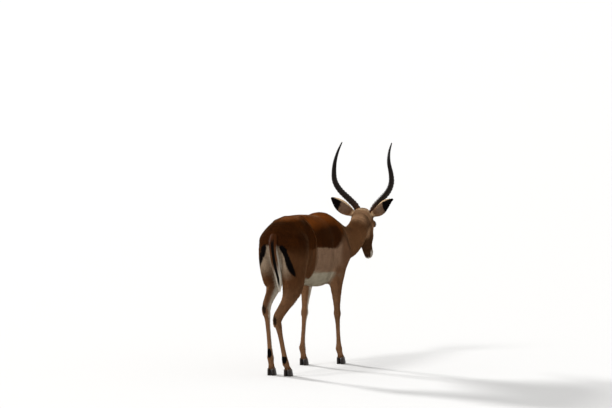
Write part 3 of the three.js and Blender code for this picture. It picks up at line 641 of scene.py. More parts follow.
def sample(field, low, count, step, coarse, thin=None):
    """The field on a grid: everywhere on every coarse-th node, and on all nodes only in the blocks
    whose coarse corners lie within a block's diagonal of the surface, or of a thin part."""
    blocks = np.ceil((count - 1) / coarse).astype(int)
    nodes = np.stack(np.meshgrid(*[np.arange(n + 1) for n in blocks], indexing="ij"), -1)
    rough = field((low + nodes.reshape(-1, 3) * step * coarse).astype(F32)).reshape(blocks + 1)
    corners = [rough[i : i + blocks[0], j : j + blocks[1], k : k + blocks[2]]
               for i, j, k in itertools.product((0, 1), repeat=3)]
    nearest = np.min(np.abs(corners), axis=0)
    close = nearest < step * coarse * 1.9
    size = blocks * coarse + 1
    value = np.ones(size, F32) * 100
    fine = np.zeros(size, bool)

    def spread(a):
        """Each block's value on all the nodes in it."""
        return a.repeat(coarse, 0).repeat(coarse, 1).repeat(coarse, 2)

    value[:-1, :-1, :-1] = spread(corners[0])
    grown = np.pad(close, 1)
    for axis in range(3):
        grown = grown | np.roll(grown, 1, axis)
    fine_blocks = grown[1:, 1:, 1:]
    fine[:-1, :-1, :-1] = spread(fine_blocks[:-1, :-1, :-1])
    if thin is not None:
        for box_low, box_high, test in thin:
            a = np.clip(np.floor((box_low - low) / step).astype(int), 0, size - 1)
            b = np.clip(np.ceil((box_high - low) / step).astype(int), 0, size - 1)
            grid = np.stack(np.meshgrid(*[np.arange(a[i], b[i]) for i in range(3)], indexing="ij"), -1)
            near = test((low + grid.reshape(-1, 3) * step).astype(F32)).reshape(grid.shape[:3]) < step * 2.5
            fine[a[0] : b[0], a[1] : b[1], a[2] : b[2]] |= near
    at = np.argwhere(fine)
    for chunk in np.array_split(at, max(1, len(at) // CHUNK)):
        value[chunk[:, 0], chunk[:, 1], chunk[:, 2]] = field((low + chunk * step).astype(F32))
    for axis in range(3):
        edge = [slice(None)] * 3
        for end in (0, -1):
            edge[axis] = end
            value[tuple(edge)] = np.maximum(value[tuple(edge)], 1)
    return value


def surface_net(value, low, step):
    """One vertex in each cell that the surface crosses, at the mean of its crossings on the cell's
    edges, and a quad round each crossed grid edge."""
    inside = value < 0
    n = np.array(value.shape)
    some = np.zeros(n - 1, bool)
    every = np.ones(n - 1, bool)
    for i, j, k in itertools.product((0, 1), repeat=3):
        c = inside[i : n[0] - 1 + i, j : n[1] - 1 + j, k : n[2] - 1 + k]
        some |= c
        every &= c
    cells = np.argwhere(some & ~every)
    index = np.full(n - 1, -1, int)
    index[tuple(cells.T)] = np.arange(len(cells))
    total = np.zeros((len(cells), 3))
    hits = np.zeros(len(cells))
    for axis, a, b in itertools.product(range(3), (0, 1), (0, 1)):
        near = np.zeros(3, int)
        near[(axis + 1) % 3], near[(axis + 2) % 3] = a, b
        far = near.copy()
        far[axis] = 1
        v0 = value[tuple((cells + near).T)]
        v1 = value[tuple((cells + far).T)]
        cross = (v0 < 0) != (v1 < 0)
        t = np.where(cross, v0 / np.where(cross, v0 - v1, 1), 0)
        total += (near + (far - near) * t[:, None]) * cross[:, None]
        hits += cross
    points = low + (cells + total / hits[:, None]) * step
    quads = []
    for axis in range(3):
        u, v = (axis + 1) % 3, (axis + 2) % 3
        one = [slice(None)] * 3
        two = [slice(None)] * 3
        one[axis] = slice(0, -1)
        two[axis] = slice(1, None)
        crossed = np.argwhere(inside[tuple(one)] != inside[tuple(two)])
        crossed = crossed[(crossed[:, u] > 0) & (crossed[:, v] > 0)]
        crossed = crossed[(crossed[:, u] < n[u] - 1) & (crossed[:, v] < n[v] - 1)]
        ring = []
        for a, b in ((1, 1), (0, 1), (0, 0), (1, 0)):
            c = crossed.copy()
            c[:, u] -= a
            c[:, v] -= b
            ring.append(index[tuple(c.T)])
        ring = np.stack(ring, 1)
        outward = inside[tuple(crossed.T)]
        quads.append(np.where(outward[:, None], ring, ring[:, ::-1]))
    return points, np.concatenate(quads)


def slope(field, p, h=0.6):
    """Central differences of the field."""
    g = np.empty((len(p), 3))
    for axis in range(3):
        e = np.zeros(3)
        e[axis] = h
        g[:, axis] = (field((p + e).astype(F32)) - field((p - e).astype(F32))) / (2 * h)
    return g


def settle(field, p, limit, rounds=2):
    """Moves points along the field's slope onto the surface, each step no longer than the limit."""
    for _ in range(rounds):
        g = slope(field, p)
        move = np.clip(field(p.astype(F32)) / np.maximum(0.3, (g * g).sum(1)), -limit, limit)
        p = p - g * move[:, None]
    return p


# The plane through the neck where the finer head meets the coarser body, and half the gap there.
CUT_AT = place(1064, 74, 712)
CUT_NORMAL = unit(place(1, 0.12, 0.5))
CUT_GAP = 1.5


def add_object(name, data):
    """A new object in the scene."""
    obj = bpy.data.objects.new(name, data)
    bpy.context.scene.collection.objects.link(obj)
    return obj


def new_mesh(name, points, faces):
    """A mesh object from points in the animal's axes and faces as rows of vertex numbers."""
    mesh = bpy.data.meshes.new(name)
    faces = np.asarray(faces)
    mesh.vertices.add(len(points))
    mesh.vertices.foreach_set("co", to_frame(points).astype(F32).ravel())
    mesh.loops.add(faces.size)
    mesh.loops.foreach_set("vertex_index", faces.ravel().astype(np.int32))
    mesh.polygons.add(len(faces))
    mesh.polygons.foreach_set("loop_start", (np.arange(len(faces)) * faces.shape[1]).astype(np.int32))
    mesh.update(calc_edges=True)
    mesh.polygons.foreach_set("use_smooth", np.ones(len(faces), bool))
    return add_object(name, mesh)


def shade_by(obj, normals):
    """Gives a mesh the normals that it is shaded with, one for each vertex."""
    layer = obj.data.attributes.new("custom_normal", "FLOAT_VECTOR", "POINT")
    layer.data.foreach_set("vector", normals.astype(F32).ravel())


def half_skin(field, low, high, step, coarse, keep, thin=None):
    """Polygonises a field in a box, and keeps one side of the cut through the neck, with a clean
    edge beside it. Returns points, triangles, the edge's vertex numbers, and normals, which are
    the field's slope made unit."""
    low, high = np.array(low, float), np.array(high, float)
    count = np.ceil((high - low) / step).astype(int) + 1
    value = sample(field, low, count, step, coarse, thin)
    points, quads = surface_net(value, low, step)
    points = settle(field, points, step * 0.4)
    mesh = bpy.data.meshes.new("half")
    mesh.from_pydata(points.tolist(), [], quads.tolist())
    shape = bmesh.new()
    shape.from_mesh(mesh)
    edge_at = CUT_AT + CUT_NORMAL * CUT_GAP * keep
    geometry = shape.verts[:] + shape.edges[:] + shape.faces[:]
    bmesh.ops.bisect_plane(shape, geom=geometry, dist=0.02, plane_co=edge_at, plane_no=CUT_NORMAL * keep,
                           clear_inner=True)
    bmesh.ops.triangulate(shape, faces=shape.faces[:])
    shape.to_mesh(mesh)
    shape.free()
    points = np.empty(len(mesh.vertices) * 3)
    mesh.vertices.foreach_get("co", points)
    points = points.reshape(-1, 3)
    faces = np.empty(len(mesh.polygons) * 3, np.int32)
    mesh.polygons.foreach_get("vertices", faces)
    faces = faces.reshape(-1, 3)
    bpy.data.meshes.remove(mesh)
    points, faces = main_shell(points, faces)
    edge = np.where(np.abs((points - edge_at) @ CUT_NORMAL) < 0.03)[0]
    return points, faces, edge, unit(slope(field, points))


def main_shell(points, faces):
    """Drops loose scraps: labels spread along the faces until each shell has one, and the shell
    with the most vertices is kept."""
    label = np.arange(len(points))
    while True:
        least = label[faces].min(1)
        fresh = label.copy()
        np.minimum.at(fresh, faces.ravel(), np.repeat(least, 3))
        fresh = fresh[fresh]
        if (fresh == label).all():
            break
        label = fresh
    names, counts = np.unique(label, return_counts=True)
    kept = label == names[counts.argmax()]
    number = np.cumsum(kept) - 1
    faces = faces[kept[faces].all(1)]
    return points[kept], number[faces]


def zip_edges(points, first, second):
    """Triangles between two closed edges round the neck: both are sorted by angle, and each step
    goes on along the edge whose next vertex comes first."""
    across = unit(np.cross(CUT_NORMAL, UP))
    over = np.cross(across, CUT_NORMAL)

    def turned(edge):
        """The edge's vertices in order of their angle round the neck, and those angles."""
        q = points[edge] - CUT_AT
        angle = np.arctan2(q @ over, q @ across)
        order = np.argsort(angle)
        return edge[order], angle[order]

    a, angle_a = turned(first)
    b, angle_b = turned(second)
    i = j = 0
    faces = []
    while i < len(a) or j < len(b):
        next_a = angle_a[i + 1] if i + 1 < len(a) else angle_a[0] + 2 * math.pi
        next_b = angle_b[j + 1] if j + 1 < len(b) else angle_b[0] + 2 * math.pi
        if j >= len(b) or (i < len(a) and next_a <= next_b):
            faces.append([a[i % len(a)], a[(i + 1) % len(a)], b[j % len(b)]])
            i += 1
        else:
            faces.append([a[i % len(a)], b[(j + 1) % len(b)], b[j % len(b)]])
            j += 1
    return np.array(faces)


# Grid steps, and the boxes that hold the two halves of the skin.
BODY_STEP, HEAD_STEP = ((6.9, 2.23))
BODY_BOX = ([-225, -1135, 36], [225, 70, 900])
HEAD_BOX = ([-340, -1400, 530], [170, -1030, 985])


def build_skin():
    """The whole skin: a finer head joined to a coarser body."""
    body = half_skin(body_field, *BODY_BOX, BODY_STEP, 4, -1)
    boxes = []
    for side in (-1, 1):
        root, along = EAR_AXES[side][:2]
        tip = root + along * EAR_LENGTH
        low = np.minimum(root, tip) - EAR_SPAN
        high = np.maximum(root, tip) + EAR_SPAN
        boxes.append((low, high, lambda p, s=side: ear_distance(s, p)))
    head = half_skin(head_field, *HEAD_BOX, HEAD_STEP, 3, 1, boxes)
    points = np.vstack([body[0], head[0]])
    offset = len(body[0])
    band = zip_edges(points, body[2], head[2] + offset)
    middle = points[band].mean(1) - CUT_AT
    face = np.cross(points[band[:, 1]] - points[band[:, 0]], points[band[:, 2]] - points[band[:, 0]])
    outward = middle - CUT_NORMAL * (middle @ CUT_NORMAL)[:, None]
    wrong = (face * outward).sum(1) < 0
    band[wrong] = band[wrong][:, ::-1]
    return points, np.vstack([body[1], head[1] + offset, band]), np.vstack([body[3], head[3]])


# ---- What each point of the skin knows ----

# The parts of the skin by number, and the limb that measures each of them.
PARTS = ["trunk", "neck", "head", *LEGS, "tail", "ear_left", "ear_right"]
TRUNK_P, NECK_P, HEAD_P, HIND_L, HIND_R, FORE_L, FORE_R, TAIL_P, EAR_L, EAR_R = range(10)
MAIN = {"trunk": TRUNK, "neck": NECK, "head": HEAD, "tail": DOCK}
for tube in LIMBS:
    if tube["part"] in LEGS:
        MAIN[tube["part"]] = tube
DOWN = -UP
# How the hair lies: along the limb or against it, and how much it droops or sweeps to the rear.
LIE = {"trunk": (-1, 0.38, 0.0), "neck": (-1, 0.22, 0.0), "head": (-1, 0.0, 0.0), "tail": (1, 0.1, 0.0)}
for name, joints in LEGS.items():
    LIE[name] = (1, 0.1, 0.22 if "hock" in joints else 0.12)


LIE_BLEND, TINT_BLEND = 16, 14  # over this width one part's hair and tint give way to the next's


def survey(points, normals):
    """For each point: how near it is to each part, where it is along and round that part, which
    part it belongs to, and which way the hair lies there."""
    n = len(points)
    p = points.astype(F32)
    dist = np.full((n, 10), 200.0)
    along = np.zeros((n, 10))
    turn = np.zeros((n, 10, 2))
    lie = np.zeros((n, 10, 3))
    for tube in LIMBS:
        part = tube["part"].split()[0]
        if "shoulder" in tube["part"]:
            part = "trunk"
        k = PARTS.index(part)
        d, s, across, depth, axis = limb_distance(tube, p, detail=True)
        if MAIN[part] is tube:
            along[:, k] = s / tube["start"][-1]
            turn[:, k, 0], turn[:, k, 1] = across, depth
            way, drop, back = LIE[part]
            lie[:, k] = axis * way + DOWN * drop + place(-1, 0, 0) * back
        dist[:, k] = np.minimum(dist[:, k], d)
    for k, side in ((EAR_L, -1), (EAR_R, 1)):
        t, angle, roll, inward, _, wall = ear_place(side, p)
        near = ear_distance(side, p)
        in_leaf = (near < 4) & (t > 0.1)
        dist[:, k] = np.where(in_leaf, near - 30 * smooth(t, 0.1, 0.22), 200)
        along[:, k] = t
        turn[:, k, 0] = angle / roll * 2
        turn[:, k, 1] = np.where(inward > wall / 2 + 0.6, 1, -1)
        lie[:, k] = EAR_AXES[side][1]
    part = dist.argmin(1)
    near = dist - dist.min(1)[:, None]
    weight = np.exp(-near / LIE_BLEND)
    flow = (lie * weight[:, :, None]).sum(1)
    flow = flow - normals * (flow * normals).sum(1)[:, None]
    return {"dist": dist, "along": along, "turn": turn, "part": part, "lie": unit(flow)}


# ---- Markings ----


def linear(code):
    """A screen colour in hexadecimal as linear light."""
    c = np.array([int(code[i : i + 2], 16) for i in (0, 2, 4)]) / 255
    return np.where(c <= 0.04045, c / 12.92, ((c + 0.055) / 1.055) ** 2.4)


# SADDLE is the saddle lit from above and SADDLE_DARK the same hair in shade: painted light and shade.
# SADDLE_DARK also serves as painted shade in creases, and as the brown at the tail's root.
SADDLE = linear("7d4116")
SADDLE_DARK = linear("361b09")
FLANK = linear("8d7059")
THIGH = linear("593922")
FAWN = linear("70503a")
NECK_TINT = linear("6b492e")
POLL_TINT = linear("a88261")
CROWN = linear("e0c29c")
BELLY = linear("aaa08b")
RUMP_PALE = linear("94806b")
WHITE = linear("d2c8b8")
BLACK = linear("0d0907")
LEG = linear("7e5b40")
FACE = linear("6f4f36")
FACE_DARK = linear("3d2716")
EAR_BACK = linear("735b49")
EAR_LINING = linear("8a6f62")
NOSE = linear("14100f")
LID = linear("150f0d")


def noise(p, size, seed):
    """Smooth random values between -1 and 1: hashed lattice values blended between lattice points."""
    q = p / size + seed * 7.31
    i = np.floor(q).astype(np.int64)
    f = q - i
    f = f * f * (3 - 2 * f)
    total = np.zeros(len(p))
    for corner in itertools.product((0, 1), repeat=3):
        x, y, z = (i + corner).T
        h = x * 73856093 ^ y * 19349663 ^ z * 83492791 ^ seed * 2654435
        h = (h ^ (h >> 13)) * 1274126177 & 0x7FFFFFFF
        v = (h % 20011) / 10005.5 - 1
        w = np.where(corner, f, 1 - f)
        total += v * (w[:, 0] * w[:, 1] * w[:, 2])
    return total


# painted light and shade: the heights at which the saddle's lit top gives way to its shade
DARK_AT = [0, 60, 100, 290, 350, 700, 780]  # forward, for the heights between which the back darkens
# Where the middle of the back lies: to the right by forward.
MID_AT = [-60, 480, 590, 680, 760, 840, 902, 980, 1050, 1118, 1180]
MID = [0, 0, 4, 8, 12, 22, 35, 57, 72, 83, 84]


def blend(base, tint, share):
    """base turned towards tint by a share at each point; either is one colour or one for each."""
    return base + (np.asarray(tint) - base) * share[:, None]


def nose_pad(q):
    """1 on the bare pad: widest between the nostrils, narrow above, and drawn down to the lip."""
    half = np.interp(q[:, 2], [-19, -12, -4, 4, 10, 16, 21], [2, 4.5, 11, 19, 18, 11, 3])
    return smooth(half - np.abs(q[:, 1]), -1.5, 1.5) * smooth(q[:, 0] - 0.25 * (q[:, 2] - 10), 260, 264)


def markings(p, normal, known):
    """The coat's colour: a rufous saddle over a fawn flank and a pale belly, dark stripes down the
    buttocks, legs pale inside, a dark-tipped ear and a face pale about the eyes and mouth. Light
    and shade are painted in too: the saddle lit orange along the top of the back and in shade
    below, painted shade in the crease before the shoulder, on the flank before the haunch and over
    the lower face, jaw and chin, and painted highlights along the haunch's edge, on the crown and
    on the ears' upper rims."""
    forward, right, up = body_terms(p)
    side_off = right - np.interp(forward, MID_AT, MID)
    flat = np.abs(side_off)
    ragged = 5 * noise(p, 26, 1) + 3 * noise(p, 9, 2)
    near = known["dist"] - known["dist"].min(1)[:, None]
    weight = np.exp(-near / TINT_BLEND)
    weight /= weight.sum(1)[:, None]
    neck, head = weight[:, NECK_P], weight[:, HEAD_P]
    back_facing = normal[:, 1]

    # body
    edge = np.interp(forward, [-40, 60, 130, 200, 290, 400, 640, 700, 760, 830, 900],
                     [724, 714, 700, 694, 706, 712, 690, 700, 738, 792, 850])
    soft = np.interp(forward, [-40, 120, 250, 320, 630, 700, 900], [40, 60, 40, 4, 4, 24, 60])
    saddle = smooth(up + ragged, edge - soft, edge + soft)
    # the saddle painted lit orange along the top of the back and in shade below it (dark)
    high = np.interp(forward, DARK_AT, [858, 870, 893, 895, 872, 872, 820])
    dark = smooth(up, high, np.interp(forward, DARK_AT, [826, 842, 866, 868, 785, 800, 740]))
    top = SADDLE + (SADDLE_DARK - SADDLE) * np.clip(dark + 0.12 * noise(p, 70, 3), 0, 1)[:, None]
    low_edge = np.interp(forward, [150, 300, 640, 760, 900], [560, 566, 556, 540, 520])
    ahead, shown = past_haunch(forward, right, up)
    clear = smooth(ahead, -7, 7)
    flank = blend(THIGH, FLANK, clear * smooth(forward, 800, 715))
    flank = blend(flank, FAWN, smooth(forward, 715, 800))
    body = blend(flank, top, saddle)
    belly = smooth(up + 0.6 * ragged, low_edge + 4, low_edge - 4) * clear * smooth(forward, 735, 695)
    under = smooth(normal[:, 2], -0.35, -0.7) * smooth(forward, 900, 800) * smooth(up, 620, 560)
    middle = smooth(flat, 60 + 30 * clear, 34 + 26 * clear)
    belly = np.maximum(belly, under * np.maximum(middle, clear * smooth(forward, 735, 695)))
    body = blend(body, BELLY, belly)
    # painted shade in the crease before the shoulder blade
    crease = bell(forward - np.interp(up, CREASE_UP, CREASE_FORWARD), 12)
    crease = crease * smooth(up, 640, 700) * smooth(up, 872, 845) * smooth(flat, 20, 45)
    colour = blend(body, SADDLE_DARK, 0.75 * crease)

    # neck: redder above, paler to the throat
    crest = smooth(normal[:, 2], -0.1, 0.8)
    throat = blend(NECK_TINT, THIGH, 0.75 * crest)
    throat = blend(throat, POLL_TINT, smooth(forward, 1060, 1140) * smooth(up, 785, 840))
    throat = blend(throat, BELLY, smooth(forward, 1040, 1130) * smooth(normal[:, 2], -0.5, -0.95) * 0.6)
    shoulder = smooth(forward, 700, 860)
    on_neck = neck * 1.1 * shoulder + smooth(forward, 830, 900) * (neck + head)
    colour = blend(colour, throat, np.clip(on_neck, 0, 1))

    # legs: fawn outside and white inside
    for name, joints in LEGS.items():
        k = PARTS.index(name)
        side = joints["side"]
        inner = -known["turn"][:, k, 0] * side
        hind = "hock" in joints
        knee = joints["hock" if hind else "knee"]
        w = np.clip(weight[:, k] * 1.4, 0, 1) * smooth(up, *((700, 610) if hind else (640, 560)))
        leg = blend(THIGH if hind else LEG, LEG, smooth(up, 560, 430))
        inside = smooth(inner + 0.06 * noise(p, 20, 4), 0.46, 0.80) * smooth(up, 60, 150)
        inside = inside * smooth(back_facing, 0.42, 0.0)
        lower = smooth(up, knee[2] - 20, knee[2] - 90)
        leg = blend(leg, WHITE, inside * (1 - 0.35 * lower))
        leg = blend(leg, THIGH, 0.5 * smooth(inner, -0.2, -0.9) * (1 - lower))
        leg = blend(leg, FACE_DARK, 0.55 * smooth(up, 62, 44))
        if hind:
            # dark tuft above the fetlock behind, and a dark edge behind the hock
            tuft = gauss(p, joints["fetlock"] + place(-26, 0, 32), [15, 16, 28])
            leg = blend(leg, BLACK, smooth(tuft, 0.3, 0.6))
            heel = gauss(p, joints["hock"] + place(-36, 0, 6), [13, 16, 34])
            leg = blend(leg, BLACK, 0.9 * smooth(heel + 0.08 * noise(p, 7, 6), 0.34, 0.66))
        colour = blend(colour, leg, w)

    # the haunch's front edge: a painted highlight along it, pale below and lit orange above and
    # stronger on the right, and painted shade on the flank just ahead of it
    edge_highlight = blend(POLL_TINT, SADDLE, smooth(up, 690, 750))
    colour = blend(colour, edge_highlight, (0.4 + 0.15 * np.sign(right)) * shown * bell(ahead + 9, 6.5))
    colour = blend(colour, SADDLE_DARK, 0.35 * shown * bell(ahead - 13, 10))

    # rump: pale between two dark stripes, fading into the backs of the thighs
    centre = 58 + (750 - up) * 0.41 + 5 * np.sin((up - 560) / 62)
    rear = smooth(back_facing, 0.02, 0.3) * smooth(forward, 190, 120)
    inside = smooth(centre - flat, 2, 14) * smooth(up + ragged, 766, 748) * smooth(up + 2 * ragged, 555, 650)
    inside = inside * smooth(back_facing, -0.05, 0.25) * smooth(forward, 200, 120)
    colour = blend(colour, RUMP_PALE, inside)
    colour = blend(colour, WHITE, inside * smooth(flat, 42, 12) * 0.5)
    half = np.interp(up, [574, 608, 648, 700, 745, 762], [0, 8, 14, 17.5, 17, 9])
    stripe = smooth(half - np.abs(flat - centre) + 0.15 * ragged, -1.5, 2.0)
    stripe = stripe * smooth(up + 0.4 * ragged, 768, 758)
    colour = blend(colour, BLACK, stripe * rear)

    # tail
    tail = smooth(weight[:, TAIL_P], 0.35, 0.65)
    strip = smooth(np.abs(known["turn"][:, TAIL_P, 0]), 0.75, 0.45) * smooth(back_facing, -0.2, 0.2)
    hairs = blend(WHITE, SADDLE_DARK * 1.4, smooth(up, 735, 775))
    hairs = blend(hairs, BLACK, strip * smooth(up, 812, 786))
    colour = blend(colour, hairs, tail)

    # head
    q = head_terms(p)
    a, r, o = q.T
    w = smooth(forward, 1120, 1165)
    face = blend(FACE, POLL_TINT, smooth(a, 40, 5) * 0.8)
    # a pale tan cap on the crown, partly the coat's tan and partly a painted highlight from above
    face = blend(face, CROWN, smooth(a, 36, 2) * smooth(o, -4, 22))
    bridge = smooth(np.abs(r) + 0.5 * ragged, 30 - 0.05 * a, 4) * smooth(o, 2, 20)
    face = blend(face, FACE_DARK, 0.6 * bridge * smooth(a, 36, 110))
    # painted shade: the lower half of the face darkened ahead of the eyes
    face = blend(face, FACE_DARK, 0.75 * smooth(o, -2, -24) * smooth(a, 90, 150))
    face = blend(face, BLACK, 0.55 * gauss(q, [44, 0, 60], [18, 16, 20]))
    for side in (-1, 1):
        brow = gauss(q, [69, side * 43, 45], [24, 10, 9])
        face = blend(face, WHITE, 0.8 * smooth(brow + 0.1 * noise(p, 6, 7), 0.25, 0.8))
        below = gauss(q, [89, side * 53, 3], [30, 14, 8])
        face = blend(face, POLL_TINT, 0.7 * smooth(below, 0.2, 0.8))
        duct = gauss(q, [109, side * 48, 14], [13, 9, 4.5])
        face = blend(face, LID, 0.8 * smooth(duct, 0.35, 0.7))
        opening, far = lid_opening(side, p)[:2]
        rim = smooth(opening, 3.4, 1.4) * smooth(far, EYE_R + 11, EYE_R + 6)
        face = blend(face, LID, rim)
    lip = smooth(a + 0.6 * ragged, 228, 254) * smooth(o - 0.1 * (a - 230), -1, -9)
    # painted shade: the jaw's underside darkened, and the chin painted dark in place of its white
    chin = smooth(o + 0.25 * np.abs(r), -17, -22) * smooth(a, 286, 276)
    face = blend(face, FACE_DARK, 0.7 * smooth(o, -24, -32))
    face = blend(face, WHITE, 0.9 * lip * (1 - 0.95 * chin))
    face = blend(face, FACE_DARK, 0.8 * chin * smooth(a, 200, 230))
    face = blend(face, POLL_TINT, 0.6 * smooth(o, -30, -40) * smooth(a, 30, 70) * smooth(a, 150, 100))
    line = mouth_line(a)
    face = blend(face, LID, 0.9 * bell(o - line, 2.4) * smooth(a, 204, 222))
    face = blend(face, NOSE, nose_pad(q))
    face = blend(face, LID, 0.4 * smooth(a, 236, 258) * smooth(o, 6, 16))
    colour = blend(colour, face, w)

    # ears
    for k, side in ((EAR_L, -1), (EAR_R, 1)):
        t, turn, inner = known["along"][:, k], known["turn"][:, k, 0], known["turn"][:, k, 1] > 0
        on_ear = known["part"] == k
        share = on_ear * smooth(t, 0.08, 0.2)
        low = -turn * side
        outer_face = blend(EAR_BACK, FACE, smooth(t, 0.42, 0.12))
        outer_face = blend(outer_face, POLL_TINT, 0.5 * smooth(low, 0.1, 0.9) * smooth(t, 0.5, 0.3))
        tip = smooth(t + 0.05 * low + 0.02 * noise(p, 12, 5), 0.57, 0.62)
        outer_face = blend(outer_face, BLACK, tip)
        # a pale tan upper rim on the back of the ear: a painted highlight
        rim = smooth(-low, 0.48, 0.72) * smooth(t, 0.97, 0.8)
        outer_face = blend(outer_face, CROWN, rim)
        inner_face = blend(WHITE, EAR_LINING, 0.55 * smooth(np.abs(turn), 0.7, 0.2))
        inner_face = blend(inner_face, BLACK, 0.95 * smooth(t + 0.1 * low, 0.76, 0.84))
        ear = np.where(inner[:, None], inner_face, outer_face)
        colour = blend(colour, ear, share)

    shade = 1 + 0.09 * noise(p, 48, 8) + 0.07 * noise(p, 16, 9)
    return np.clip(colour * shade[:, None], 0.003, 0.95)


# ---- Materials ----


def hair_group():
    """Fine streaks and mottling for skin and coat. In: Tint, Grain (lines a metre), Mottle, Relief.
    Out: Color, the tint varied by both; Normal, the streaks as a slight relief."""
    group = bpy.data.node_groups.new("hair_grain", "ShaderNodeTree")
    face = group.interface
    face.new_socket("Tint", in_out="INPUT", socket_type="NodeSocketColor")
    for name, value in (("Grain", 900.0), ("Mottle", 0.12), ("Relief", 0.25)):
        face.new_socket(name, in_out="INPUT", socket_type="NodeSocketFloat").default_value = value
    face.new_socket("Color", in_out="OUTPUT", socket_type="NodeSocketColor")
    face.new_socket("Normal", in_out="OUTPUT", socket_type="NodeSocketVector")
    nodes, links = group.nodes, group.links
    inputs, outputs = nodes.new("NodeGroupInput"), nodes.new("NodeGroupOutput")
    where = nodes.new("ShaderNodeTexCoord")
    streak, patch = nodes.new("ShaderNodeTexNoise"), nodes.new("ShaderNodeTexNoise")
    streak.inputs["Detail"].default_value = 3
    patch.inputs["Scale"].default_value = 34
    patch.inputs["Detail"].default_value = 4
    total, centred, scaled = (nodes.new("ShaderNodeMath") for _ in range(3))
    total.operation, centred.operation, scaled.operation = "ADD", "SUBTRACT", "MULTIPLY_ADD"
    centred.inputs[1].default_value = 1.0
    scaled.inputs[2].default_value = 1.0
    tinted = nodes.new("ShaderNodeVectorMath")
    tinted.operation = "SCALE"
    relief = nodes.new("ShaderNodeBump")
    relief.inputs["Distance"].default_value = 0.0008
    for start, end in (
        (where.outputs["Object"], streak.inputs["Vector"]),
        (inputs.outputs["Grain"], streak.inputs["Scale"]),
        (where.outputs["Object"], patch.inputs["Vector"]),
        (streak.outputs["Fac"], total.inputs[0]),
        (patch.outputs["Fac"], total.inputs[1]),
        (total.outputs[0], centred.inputs[0]),
        (centred.outputs[0], scaled.inputs[0]),
        (inputs.outputs["Mottle"], scaled.inputs[1]),
        (inputs.outputs["Tint"], tinted.inputs[0]),
        (scaled.outputs[0], tinted.inputs["Scale"]),
        (inputs.outputs["Relief"], relief.inputs["Strength"]),
        (streak.outputs["Fac"], relief.inputs["Height"]),
        (tinted.outputs[0], outputs.inputs["Color"]),
        (relief.outputs["Normal"], outputs.inputs["Normal"]),
    ):
        links.new(start, end)
    return group


HAIR = hair_group()


def tinted_material(name, roughness, grain, mottle, relief, specular, sheen=0.0, coat=0.0, glow=(1, 1, 1)):
    """A surface coloured by its Tint attribute through the grain group."""
    material = bpy.data.materials.new(name)
    material.use_nodes = True
    nodes, links = material.node_tree.nodes, material.node_tree.links
    shader = nodes["Principled BSDF"]
    for socket, value in (
        ("Roughness", roughness),
        ("Specular IOR Level", specular),
        ("Sheen Weight", sheen),
        ("Sheen Roughness", 0.22),
        ("Sheen Tint", (*glow, 1)),
        ("Coat Weight", coat),
        ("Coat Roughness", 0.05),
    ):
        shader.inputs[socket].default_value = value
    tint = nodes.new("ShaderNodeAttribute")
    tint.attribute_name = "Tint"
    grainy = nodes.new("ShaderNodeGroup")
    grainy.node_tree = HAIR
    for socket, value in (("Grain", grain), ("Mottle", mottle), ("Relief", relief)):
        grainy.inputs[socket].default_value = value
    links.new(tint.outputs["Color"], grainy.inputs["Tint"])
    links.new(grainy.outputs["Color"], shader.inputs["Base Color"])
    links.new(grainy.outputs["Normal"], shader.inputs["Normal"])
    return material


WARM = (1.0, 0.62, 0.34)
COAT_FINISH = tinted_material("short_coat", 0.5, 420, 0.3, 0.12, 0.0, 0.35, glow=WARM)
SKIN_FINISH = tinted_material("skin_under_coat", 0.7, 900, 0.3, 0.5, 0.0, 0.1, glow=WARM)
LONG_FINISH = tinted_material("long_hair", 0.55, 500, 0.15, 0.1, 0.02, 0.05)
HORN_FINISH = tinted_material("ridged_horn", 0.42, 260, 0.5, 0.7, 0.1)
HOOF_FINISH = tinted_material("hoof_horn", 0.42, 300, 0.4, 0.5, 0.3)
EYE_FINISH = tinted_material("wet_eye", 0.1, 900, 0.05, 0.0, 0.05, 0.0, 0.06)
NOSE_FINISH = tinted_material("bare_nose", 0.45, 700, 0.2, 0.8, 0.12)


def tint_mesh(obj, colours):
    """Writes one linear colour for each vertex to the Tint attribute."""
    rgba = np.ones((len(colours), 4), F32)
    rgba[:, :3] = colours
    layer = obj.data.color_attributes.new("Tint", "FLOAT_COLOR", "POINT")
    layer.data.foreach_set("color", rgba.ravel())


def finish_piece(obj, material, slot, *nodes):
    """Gives a piece its material, rides it on the frame, and lets it stand for CAD nodes. Its slot
    is not used.
    """
    obj.data.materials.append(material)
    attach(obj, "root")
    if nodes:
        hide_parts(*nodes)
    return obj


SKIN_SHADE = 0.88  # the skin is this much darker than the hair over it
skin_points, skin_faces, skin_normals = build_skin()
SKIN = survey(skin_points, skin_normals)
skin_tint = markings(skin_points, skin_normals, SKIN)
skin = new_mesh("skin", skin_points, skin_faces)
shade_by(skin, skin_normals)
tint_mesh(skin, skin_tint * SKIN_SHADE)
FLESH = ["trunk", "neck", "head", "tail", "ear_left", "ear_right"]
FLESH += [f"{leg}_{part}" for leg in LEGS for part in ("upper_leg", "lower_leg")]
finish_piece(skin, SKIN_FINISH, "fawn_coat", *FLESH)
bare = nose_pad(head_terms(skin_points)) > 0.5
skin.data.materials.append(NOSE_FINISH)
skin.data.polygons.foreach_set("material_index", bare[skin_faces].all(1).astype(np.int32))

# ---- Coat ----


